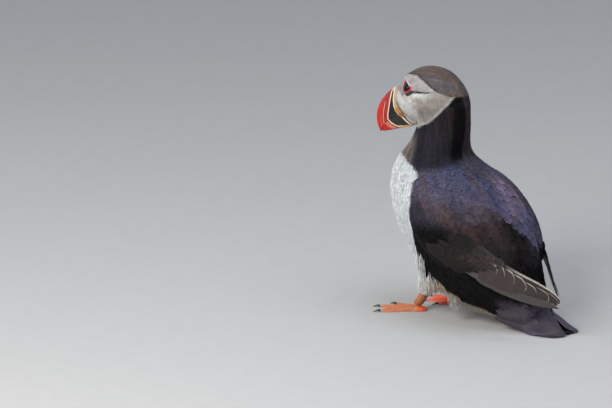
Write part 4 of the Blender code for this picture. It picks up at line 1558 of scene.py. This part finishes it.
def closed_grid(places):
    """Points and outward triangles of a (rings, segments, 3) grid, with a middle at each end."""
    ends = np.stack([places[0].mean(axis=0), places[-1].mean(axis=0)])
    points, triangles = np.concatenate([places.reshape(-1, 3), ends]), capped_grid(*places.shape[:2])
    corners = points[triangles] - points.mean(axis=0)
    volume = np.einsum("ij,ij->i", corners[:, 0], np.cross(corners[:, 1], corners[:, 2])).sum()
    return points, triangles if volume > 0 else triangles[:, ::-1]


def add_bill():
    """Both halves, with their colours and with their grooves pressed in along the normals."""
    for name, end, edge in (("upper", 0.995, culmen), ("lower", 0.93, chin)):
        share, p, side, q = bill_half(name, end, edge)
        colours, relief = bill_finish(name, share, p, q)
        points, triangles = closed_grid(head_place(p, side, q))
        normals = vertex_normals(points, triangles)
        taper = step(0.0, 0.06, np.sin(np.linspace(0, math.pi, p.shape[1]))) * step(1.0, 0.9, share)
        lift = np.append((relief * taper).ravel(), (0, 0))
        colours = np.concatenate([colours.reshape(-1, 3), np.tile(SLATE, (2, 1))])
        points = points + normals * lift[:, None]
        made = mesh_piece(f"bill_{name}", points, triangles, bill_look, colours)
        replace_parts(made, f"{name}_bill")


def bare_look(name, roughness, specular, coat, bump, scale):
    """Horn or bare skin: its colours from the mesh, with mottling, pores and a clear coat."""
    look, nodes, links, spots, pores = mottled_look(
        name,
        {"Specular IOR Level": specular, "Coat Weight": coat, "Coat Roughness": 0.25},
        {"Scale": scale, "Detail": 5.0, "Roughness": 0.6},
        {"Scale": scale * 6, "Detail": 2.0},
        {"To_Min": 0.86, "To_Max": 1.14},
        {"To_Min": roughness - 0.1, "To_Max": roughness + 0.12},
    )
    both = add_node(nodes, "ShaderNodeMath", _operation="ADD")
    links.new(spots.outputs["Fac"], both.inputs[0])
    links.new(pores.outputs["Fac"], both.inputs[1])
    add_bump(nodes, links, both.outputs["Value"], bump, 0.0004)
    return look


bill_look = bare_look("bill_horn", 0.42, 0.22, 0.06, 0.25, 260.0)
skin_bare_look = bare_look("bare_skin", 0.5, 0.4, 0.1, 0.5, 420.0)
foot_look = bare_look("foot_skin", 0.48, 0.4, 0.15, 0.5, 380.0)
claw_look = bare_look("claw_horn", 0.35, 0.5, 0.2, 0.2, 500.0)
eye_look = bare_look("eyeball", 0.13, 0.06, 0.05, 0.0, 900.0)
add_bill()


CERE_ROWS = 90
CERE_TOP = 15  # places over the band, before the three back under it
CERE_ACROSS = (*np.linspace(0, 1, CERE_TOP), 1.0, 0.5, 0.0)
FOLD = 1.9  # from one of the rosette's folds to the next


def on_side(surface, p, q, side, inner):
    """Place and normal of a surface at p and q, met from one side of the head."""
    start, way = head_place(p, side * 45, q), HEAD_SIDE * -side
    place, normal, _, _ = surface.tree.ray_cast(start.tolist(), way.tolist())
    if place is None:
        place, normal, _, _ = surface.tree.find_nearest(head_place(p, side * inner, q).tolist())
    return np.array(place), np.array(normal)


def cere_tint(share, q, low):
    """Tan and olive above; below, the orange rosette with its creases and a cream edge."""
    crease = 0.5 + 0.5 * math.cos(q * math.tau / FOLD + 4 * share)
    upper = blended(CERE_TAN, CERE_OLIVE, step(0.30, 0.46, share))
    lower = blended(ROSETTE, ROSETTE_DARK, crease * 0.6 + 0.4 * step(4, 0, q))
    lower = blended(LINE_CREAM, lower, step(0.14, 0.26, share))
    return blended(upper, lower, low)


def add_cere(name, side):
    """The bare leathery band between bill and face, with the rosette at the corner of the mouth."""
    ground = Surface(*joined([node_mesh(node) for node in ("head", "upper_bill", "lower_bill")]))
    rows, tints = [], []
    for q in np.linspace(24.8, -2.2, CERE_ROWS):
        inner, outer = np.interp(q, CERE_Q, CERE_INNER), np.interp(q, CERE_Q, CERE_OUTER)
        taper = step(-2.4, 1.0, q) * step(25.2, 23.5, q)
        low = step(9.0, 7.0, q)
        folds = math.cos(q * math.tau / FOLD)
        row = []
        for j, share in enumerate(CERE_ACROSS):
            p = outer + (inner - outer) * (share * (0.5 + 0.5 * taper) + 0.25 * (1 - taper))
            place, normal = on_side(ground, p, q, side, 4)
            dome = max(1 - (2 * share - 1) ** 2, 0) ** 0.5
            height = 0.2 + 0.75 * taper * dome * (1 + low * 0.35 * math.cos(folds + 5 * share))
            lift = height if j < CERE_TOP else -0.9
            row.append(place + unit(normal + side * HEAD_SIDE) * lift)
        rows.append(row)
        tints.append([cere_tint(share, q, low) for share in CERE_ACROSS])
    points, triangles = closed_grid(np.array(rows))
    colours = np.concatenate([np.array(tints).reshape(-1, 3), [CERE_TAN, ROSETTE]])
    made = mesh_piece(f"cere_{name}", points, triangles, skin_bare_look, colours)


# Bare parts of the face, laid on the head's side


def on_head(p, q, side):
    """The head's outer surface at p and q: place and normal."""
    return on_side(outside, p, q, side, 8)


RING_RED = np.array((0.52, 0.012, 0.030))
LID_DARK = np.array((0.010, 0.008, 0.010))
LID_PALE = np.array((0.36, 0.34, 0.34))
# The plate above the eye: blue-grey horn coloured near black as painted shade in its recess
PLATE_SHADOW = np.array((0.016, 0.015, 0.020))
BAR_DARK = np.array((0.014, 0.014, 0.018))
IRIS = np.array((0.018, 0.011, 0.009))
LID_OUTLINE = (  # p and q of the red rim's outer edge, round the eye from the corner behind it
    (5.0, 14.4), (5.9, 18.9), (7.7, 22.5), (10.6, 25.0), (13.2, 23.2), (15.4, 20.2), (16.7, 16.6),
    (15.2, 14.6), (12.6, 13.7), (8.6, 13.7),
)  # fmt: skip
LID_INNER = (
    (6.6, 15.4), (7.7, 18.2), (9.3, 21.4), (10.8, 23.9), (12.5, 22.4), (14.5, 19.8), (15.7, 16.9),
    (14.6, 15.5), (12.3, 14.9), (9.2, 14.8),
)  # fmt: skip
BAR_OUTLINE = (
    (4.4, 11.0), (5.2, 13.4), (9.6, 13.8), (13.2, 13.8), (16.0, 14.6), (15.4, 12.6), (13.9, 10.9),
    (9.5, 10.6),
)  # fmt: skip
ABOVE_OUTLINE = ((8.9, 19.6), (9.7, 21.6), (10.7, 24.3), (12.6, 22.6), (13.9, 20.2), (11.3, 19.6))
EYE_SHOWS = 1.3  # how far its cap stands out of the head
EYE_OPENING = 2.75  # the lids' inner radius
EYE_RINGS, EYE_SEGMENTS = 40, 48
OUTLINE_PLACES = 96


def eye_axes(side):
    """An eyeball's centre, the way it looks, and the ways forward and up across that."""
    centre = node_centre("eye_left" if side > 0 else "eye_right") - ORIGIN
    out = unit(side * HEAD_SIDE * 0.85 + HEAD_Q * 0.3 + HEAD_P * 0.42)
    _, normal = on_head(EYE_P, EYE_Q, side)
    forward = unit(HEAD_P - normal * (HEAD_P @ normal))
    forward = unit(forward - out * (forward @ out))
    return centre, out, forward, np.cross(out, forward)


def brow(side):
    """How far the head's surface stands out at p and q round an eye, without the eye's socket."""

    def terms(p, q):
        return np.stack([p * 0 + 1, p, q, p * p, p * q, q * q, p**3, q**3], axis=-1)

    turn, reach = np.arange(20) * math.tau / 20, np.array((5.6, 7.5, 9.0))[:, None]
    p, q = (EYE_P + reach * np.cos(turn)).ravel(), (EYE_Q + reach * np.sin(turn)).ravel()
    places = np.array([on_head(*place, side)[0] for place in zip(p, q)])
    fit = np.linalg.lstsq(terms(p, q), np.abs(head_axes(places)[1]), rcond=None)[0]
    return lambda p, q: terms(p, q) @ fit


def loop(outline):
    """Evenly spaced places along a smooth closed curve through the middles of an outline's sides."""
    corners = np.array(outline, float)
    t = np.linspace(0, 1, 8)[:, None]
    curve = []
    for before, here, after in zip(np.roll(corners, 1, axis=0), corners, np.roll(corners, -1, axis=0)):
        start, end = (before + here) / 2, (here + after) / 2
        curve.append((1 - t) ** 2 * start + 2 * t * (1 - t) * here + t * t * end)
    curve = np.concatenate(curve)
    closed = np.concatenate([curve, curve[:1]])
    run = np.append(0, np.cumsum(np.linalg.norm(np.diff(closed, axis=0), axis=1)))
    want = np.linspace(0, run[-1], OUTLINE_PLACES, endpoint=False)
    return np.stack([np.interp(want, run, closed[:, axis]) for axis in range(2)], axis=1)


def lid_place(out, side, ring, lift, floor_lift=0.12):
    """Places over the head and over the eyeball's cap, each lifted along the head's normal."""
    p, q = ring.T
    small = 0.05
    slope_p = (out(p + small, q) - out(p - small, q)) / (2 * small)
    slope_q = (out(p, q + small) - out(p, q - small)) / (2 * small)
    normals = side * HEAD_SIDE - slope_p[:, None] * HEAD_P - slope_q[:, None] * HEAD_Q
    reach = np.hypot(p - EYE_P, q - EYE_Q)
    cap = np.sqrt(np.maximum(EYE_RADIUS**2 - reach**2, 0)) - EYE_RADIUS + EYE_SHOWS
    lift = np.maximum(lift, cap + floor_lift)
    return head_place(p, side * out(p, q), q) + unit(normals) * lift[:, None]


def add_lid(name, side, out):
    """The eye's rim: dark skin out to a red edge that stands on its side like a tall triangle."""
    outer, inner = loop(LID_OUTLINE), loop(LID_INNER)
    middle = np.array((EYE_P, EYE_Q))
    start = unit(inner - middle)
    eye = middle + start * EYE_OPENING
    behind = step(0.15, 0.3, start[:, 1]) * step(0.05, -0.05, start[:, 0])
    edge = blended(RING_RED, LID_PALE, behind)
    dark = np.tile(LID_DARK, (len(outer), 1))
    crumple = 0.06 * np.cos(np.arange(len(outer)) * math.tau / 7)
    rows, tints = [], []
    for ring, lift, tint in (
        (eye, -0.5, dark),
        (eye, 0.25, dark),
        (eye + (inner - eye) * 0.35, 0.42, dark),
        (eye + (inner - eye) * 0.7, 0.36, dark),
        (inner, 0.45, dark),
        (inner + (outer - inner) * 0.15, 0.62, edge),
        (inner + (outer - inner) * 0.5, 0.80, edge),
        (inner + (outer - inner) * 0.85, 0.62, edge),
        (outer, 0.25, edge),
        (outer, -0.8, edge),
    ):
        lifts = np.full(len(ring), lift) + (crumple if lift > 0.3 else 0)
        rows.append(lid_place(out, side, ring, lifts, 0.12 if lift > 0 else -0.6))
        tints.append(tint)
    points, triangles = closed_grid(np.array(rows))
    colours = np.concatenate([np.concatenate(tints), [LID_DARK, LID_DARK]])
    lid = mesh_piece(f"eyelid_{name}", points, triangles, skin_bare_look, colours)


def add_plate(name, side, out, part, outline, height, tint):
    """A small horny plate by the eye."""
    ring = loop(outline)
    middle = ring.mean(axis=0)
    rows = []
    for share in (0.2, 0.5, 0.75, 0.92, 1.0):
        lift = height * (1 - share**4) ** 0.5 + 0.1
        rows.append(lid_place(out, side, middle + (ring - middle) * share, np.full(len(ring), lift)))
    rows.append(lid_place(out, side, ring, np.full(len(ring), -0.8), -0.8))
    points, triangles = closed_grid(np.array(rows))
    wave = 1 + 0.25 * np.sin(points @ HEAD_Q * 3)
    made = mesh_piece(
        f"eye_{part}_{name}", points, triangles, skin_bare_look, tint * wave[:, None]
    )


def add_eyeball(name, side):
    """A glossy ball with a slight cornea, a dark iris and a black pupil."""
    centre, out, forward, above = eye_axes(side)
    turns = np.arange(EYE_SEGMENTS) * math.tau / EYE_SEGMENTS
    polar = np.linspace(0.02, math.pi - 0.02, EYE_RINGS)
    tilt, around = np.meshgrid(polar, turns, indexing="ij")
    radius = EYE_RADIUS + 0.3 * np.exp(-((tilt / 0.45) ** 2))
    across = np.cos(around)[..., None] * forward + np.sin(around)[..., None] * above
    places = centre + (np.cos(tilt) * radius)[..., None] * out
    points, triangles = closed_grid(places + (np.sin(tilt) * radius)[..., None] * across)
    iris = blended(np.tile(IRIS, (*tilt.shape, 1)) * 1.0, LID_DARK, step(0.62, 0.75, tilt))
    iris = blended(iris, LID_DARK * 0.2, step(0.42, 0.36, tilt))
    colours = np.concatenate([iris.reshape(-1, 3), [LID_DARK * 0.2, LID_DARK]])
    eye = mesh_piece(f"eyeball_{name}", points, triangles, eye_look, colours)
    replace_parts(eye, f"eye_{name}")


for side_name, side_sign in SIDES.items():
    surface_out = brow(side_sign)
    add_eyeball(side_name, side_sign)
    add_lid(side_name, side_sign, surface_out)
    # The plate above the eye, in painted shade
    add_plate(side_name, side_sign, surface_out, "plate_above", ABOVE_OUTLINE, 0.75, PLATE_SHADOW)
    add_plate(side_name, side_sign, surface_out, "plate_below", BAR_OUTLINE, 0.9, BAR_DARK)
    add_cere(side_name, side_sign)


# Feet: the CAD's toes, webs and shanks, with scutes

TOE_ANGLES = (-27, -1, 24)
HEEL_STRETCH = 0.7
TOE_SCUTE, SHANK_SCUTE = 1.7, 2.1  # from one scute to the next
FOOT_VOXEL, SHANK_VOXEL, CLAW_VOXEL = 0.42, 0.45, 0.2
FOOT_TURN = {"left": 27, "right": 36}
FOOT_JOINT = {"left": np.array((24, -5, 0)), "right": np.array((-24, 9, 0))}
# Both feet share one orange skin: their different oranges are painted light and shade
TOE_ORANGE = {"left": np.array((0.50, 0.165, 0.070)), "right": np.array((0.78, 0.090, 0.035))}
WEB_ORANGE = np.array((0.48, 0.17, 0.075))
HEEL_ORANGE = np.array((0.62, 0.085, 0.025))
SHANK_ORANGE = np.array((0.40, 0.115, 0.040))
CREASE = np.array((0.28, 0.06, 0.03))
SHADE_BROWN = np.array((0.16, 0.075, 0.035))
CLAW_GREY = (0.030, 0.026, 0.024)


def toe_way(name, side, angle):
    heading = math.radians(FOOT_TURN[name] + side * angle)
    return np.array((math.sin(heading), -math.cos(heading), 0))


def add_toes(name, side):
    """Toes and webs, with scutes along each toe and a drawn-out heel."""
    points, triangles = softened(node_mesh(f"foot_{name}"), FOOT_VOXEL, rounds=2)
    normals = vertex_normals(points, triangles)
    away = points - FOOT_JOINT[name]
    near_toe = np.zeros(len(points))
    scute = np.zeros(len(points))
    for angle in TOE_ANGLES:
        toe = toe_way(name, side, angle)
        along = away @ toe
        aside = away @ np.array((-toe[1], toe[0], 0))
        close = (1 - step(1.6, 2.6, np.abs(aside))) * (along > 0)
        wave = np.cos(along * math.tau / TOE_SCUTE) ** 8
        scute = np.where(close > near_toe, wave, scute)
        near_toe = np.maximum(near_toe, close)
    top = step(0.1, 0.5, normals[:, 2])
    wrinkle = noise(away[:, 0] * 2.2, away[:, 1] * 2.2) - 0.5
    lift = 0.16 * near_toe * top * (0.5 - scute) + 0.12 * wrinkle * top
    web = (WEB_ORANGE + TOE_ORANGE[name]) / 2
    colours = blended(np.tile(web, (len(points), 1)), TOE_ORANGE[name], near_toe)
    ahead = away @ toe_way(name, side, TOE_ANGLES[1])
    colours = blended(colours, HEEL_ORANGE, step(0.5, -1.5, ahead))
    colours = blended(colours, CREASE, scute * near_toe * top * 0.6)
    colours = colours * (1 + 0.3 * wrinkle)[:, None]
    points = points + normals * lift[:, None]
    heel = np.minimum(ahead, 0)[:, None] * toe_way(name, side, TOE_ANGLES[1])
    points += HEEL_STRETCH * heel * step(9, 4, points[:, 2])[:, None]
    points[:, 2] = np.maximum(points[:, 2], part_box(f"foot_{name}")[0][2] / MM - ORIGIN[2])
    made = mesh_piece(f"toes_{name}", points, triangles, foot_look, colours)
    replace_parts(made, f"foot_{name}")


def add_tarsus(name):
    """The shank, scaled in front and a little thicker than its node."""
    points, triangles = softened(node_mesh(f"shank_{name}"), SHANK_VOXEL, rounds=3)
    normals = vertex_normals(points, triangles)
    front = step(-0.7, 0.1, -normals[:, 1])
    rows = np.cos((points[:, 2] + 0.5 * np.cos(points[:, 0] * 2)) * math.tau / SHANK_SCUTE) ** 8
    low, high = points[:, 2].min(), points[:, 2].max()
    thicker = 1.3 * step(high, high - 6, points[:, 2]) * step(low, low + 4, points[:, 2])
    rough = noise(points[:, 0] * 3, points[:, 2] * 3) - 0.5
    lift = 0.15 * front * (0.4 - rows) + 0.1 * rough + thicker
    colours = blended(SHADE_BROWN, SHANK_ORANGE, 0.15 + 0.85 * front)
    colours = blended(colours, CREASE, rows * front * 0.6)
    points = points + normals * lift[:, None]
    made = mesh_piece(f"tarsus_{name}", points, triangles, foot_look, colours)
    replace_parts(made, f"shank_{name}")


def add_nails(name):
    """The CAD's claws, smoothed."""
    for toe in ("inner", "middle", "outer"):
        node = f"claw_{name}_{toe}"
        points, triangles = softened(node_mesh(node), CLAW_VOXEL, rounds=4)
        colours = np.tile(CLAW_GREY, (len(points), 1))
        made = mesh_piece(f"nail_{name}_{toe}", points, triangles, claw_look, colours)
        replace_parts(made, node)


for side_name, side_sign in SIDES.items():
    add_toes(side_name, side_sign)
    add_tarsus(side_name)
    add_nails(side_name)


# Floor, light and camera

LENS, SENSOR, DISTANCE = 300.0, 36.0, 4474.0
AZIMUTH, ELEVATION = 130, 15
AIM = np.array((0, 50, 100))
AIM_RIGHT, AIM_DOWN = 0.2904, 0.0016  # in widths of the picture
FLOOR_REACH = 12.0
LIGHTS = (  # name, azimuth, elevation, distance and size in metres, power and colour
    ("key", 92, 32, 1.5, 0.9, 22, (1.0, 0.97, 0.93)),
    ("front", 35, 8, 1.5, 1.2, 4.5, (0.97, 0.98, 1.0)),
    ("sky", 190, 70, 1.6, 1.4, 13, (0.85, 0.9, 1.0)),
)


def direction(azimuth, elevation):
    """The way out from the bird at an azimuth and an elevation in degrees."""
    azimuth, elevation = math.radians(azimuth), math.radians(elevation)
    level = math.cos(elevation)
    return np.array((math.sin(azimuth) * level, -math.cos(azimuth) * level, math.sin(elevation)))


def towards(way):
    """The turn that makes a camera or lamp look along a way."""
    return Vector(way.tolist()).to_track_quat("-Z", "Y").to_euler()


def add_camera():
    """Looks from the bird's left rear, which stands to the right of the picture's middle."""
    back, right = direction(AZIMUTH, ELEVATION), direction(AZIMUTH + 90, 0)
    above = np.cross(back, right)
    width = DISTANCE * SENSOR / LENS
    place = AIM + back * DISTANCE
    aim = AIM - right * AIM_RIGHT * width + above * AIM_DOWN * width
    data = bpy.data.cameras.new("camera")
    data.lens, data.sensor_width = LENS, SENSOR
    data.clip_start, data.clip_end = 0.1, 30
    camera = add_object("camera", data)
    camera.location = (place + ORIGIN) * MM
    camera.rotation_euler = towards(aim - place)
    bpy.context.scene.camera = camera


def add_area_light(name, azimuth, elevation, distance, size, power, colour):
    back = direction(azimuth, elevation)
    data = bpy.data.lights.new(name, "AREA")
    data.shape, data.size, data.energy, data.color = "DISK", size, power, colour
    light = add_object(name, data)
    light.location = back * distance + (0, 0, 0.1)
    light.rotation_euler = towards(-back)


def add_floor():
    """A wide, evenly pale floor, hardly mottled."""
    look, nodes, links = node_tree("floor")
    shader = nodes["Principled BSDF"]
    where = add_node(nodes, "ShaderNodeTexCoord")
    grain = add_node(nodes, "ShaderNodeTexNoise", Scale=60.0, Detail=5.0)
    ramp = add_node(nodes, "ShaderNodeValToRGB")
    ramp.color_ramp.elements[0].color = (0.40, 0.395, 0.385, 1)
    ramp.color_ramp.elements[1].color = (0.44, 0.435, 0.425, 1)
    links.new(where.outputs["Object"], grain.inputs["Vector"])
    links.new(grain.outputs["Fac"], ramp.inputs["Fac"])
    links.new(ramp.outputs["Color"], shader.inputs["Base Color"])
    shader.inputs["Roughness"].default_value = 0.85
    mesh = bpy.data.meshes.new("floor")
    corners = [(x * FLOOR_REACH, y * FLOOR_REACH, 0) for x, y in ((-1, -1), (1, -1), (1, 1), (-1, 1))]
    mesh.from_pydata(corners, [], [(0, 1, 2, 3)])
    mesh.materials.append(look)
    add_object("floor", mesh)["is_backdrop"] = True


def add_world():
    world = bpy.data.worlds.new("studio")
    world.use_nodes = True
    background = world.node_tree.nodes["Background"]
    background.inputs["Color"].default_value = (0.80, 0.86, 0.95, 1)
    background.inputs["Strength"].default_value = 0.55
    bpy.context.scene.world = world


add_camera()
add_floor()
add_world()
for lamp in LIGHTS:
    add_area_light(*lamp)
bpy.context.scene.view_settings.view_transform = "Standard"

size = [[list(corner) for corner in box] for box in (cad_box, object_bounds())]
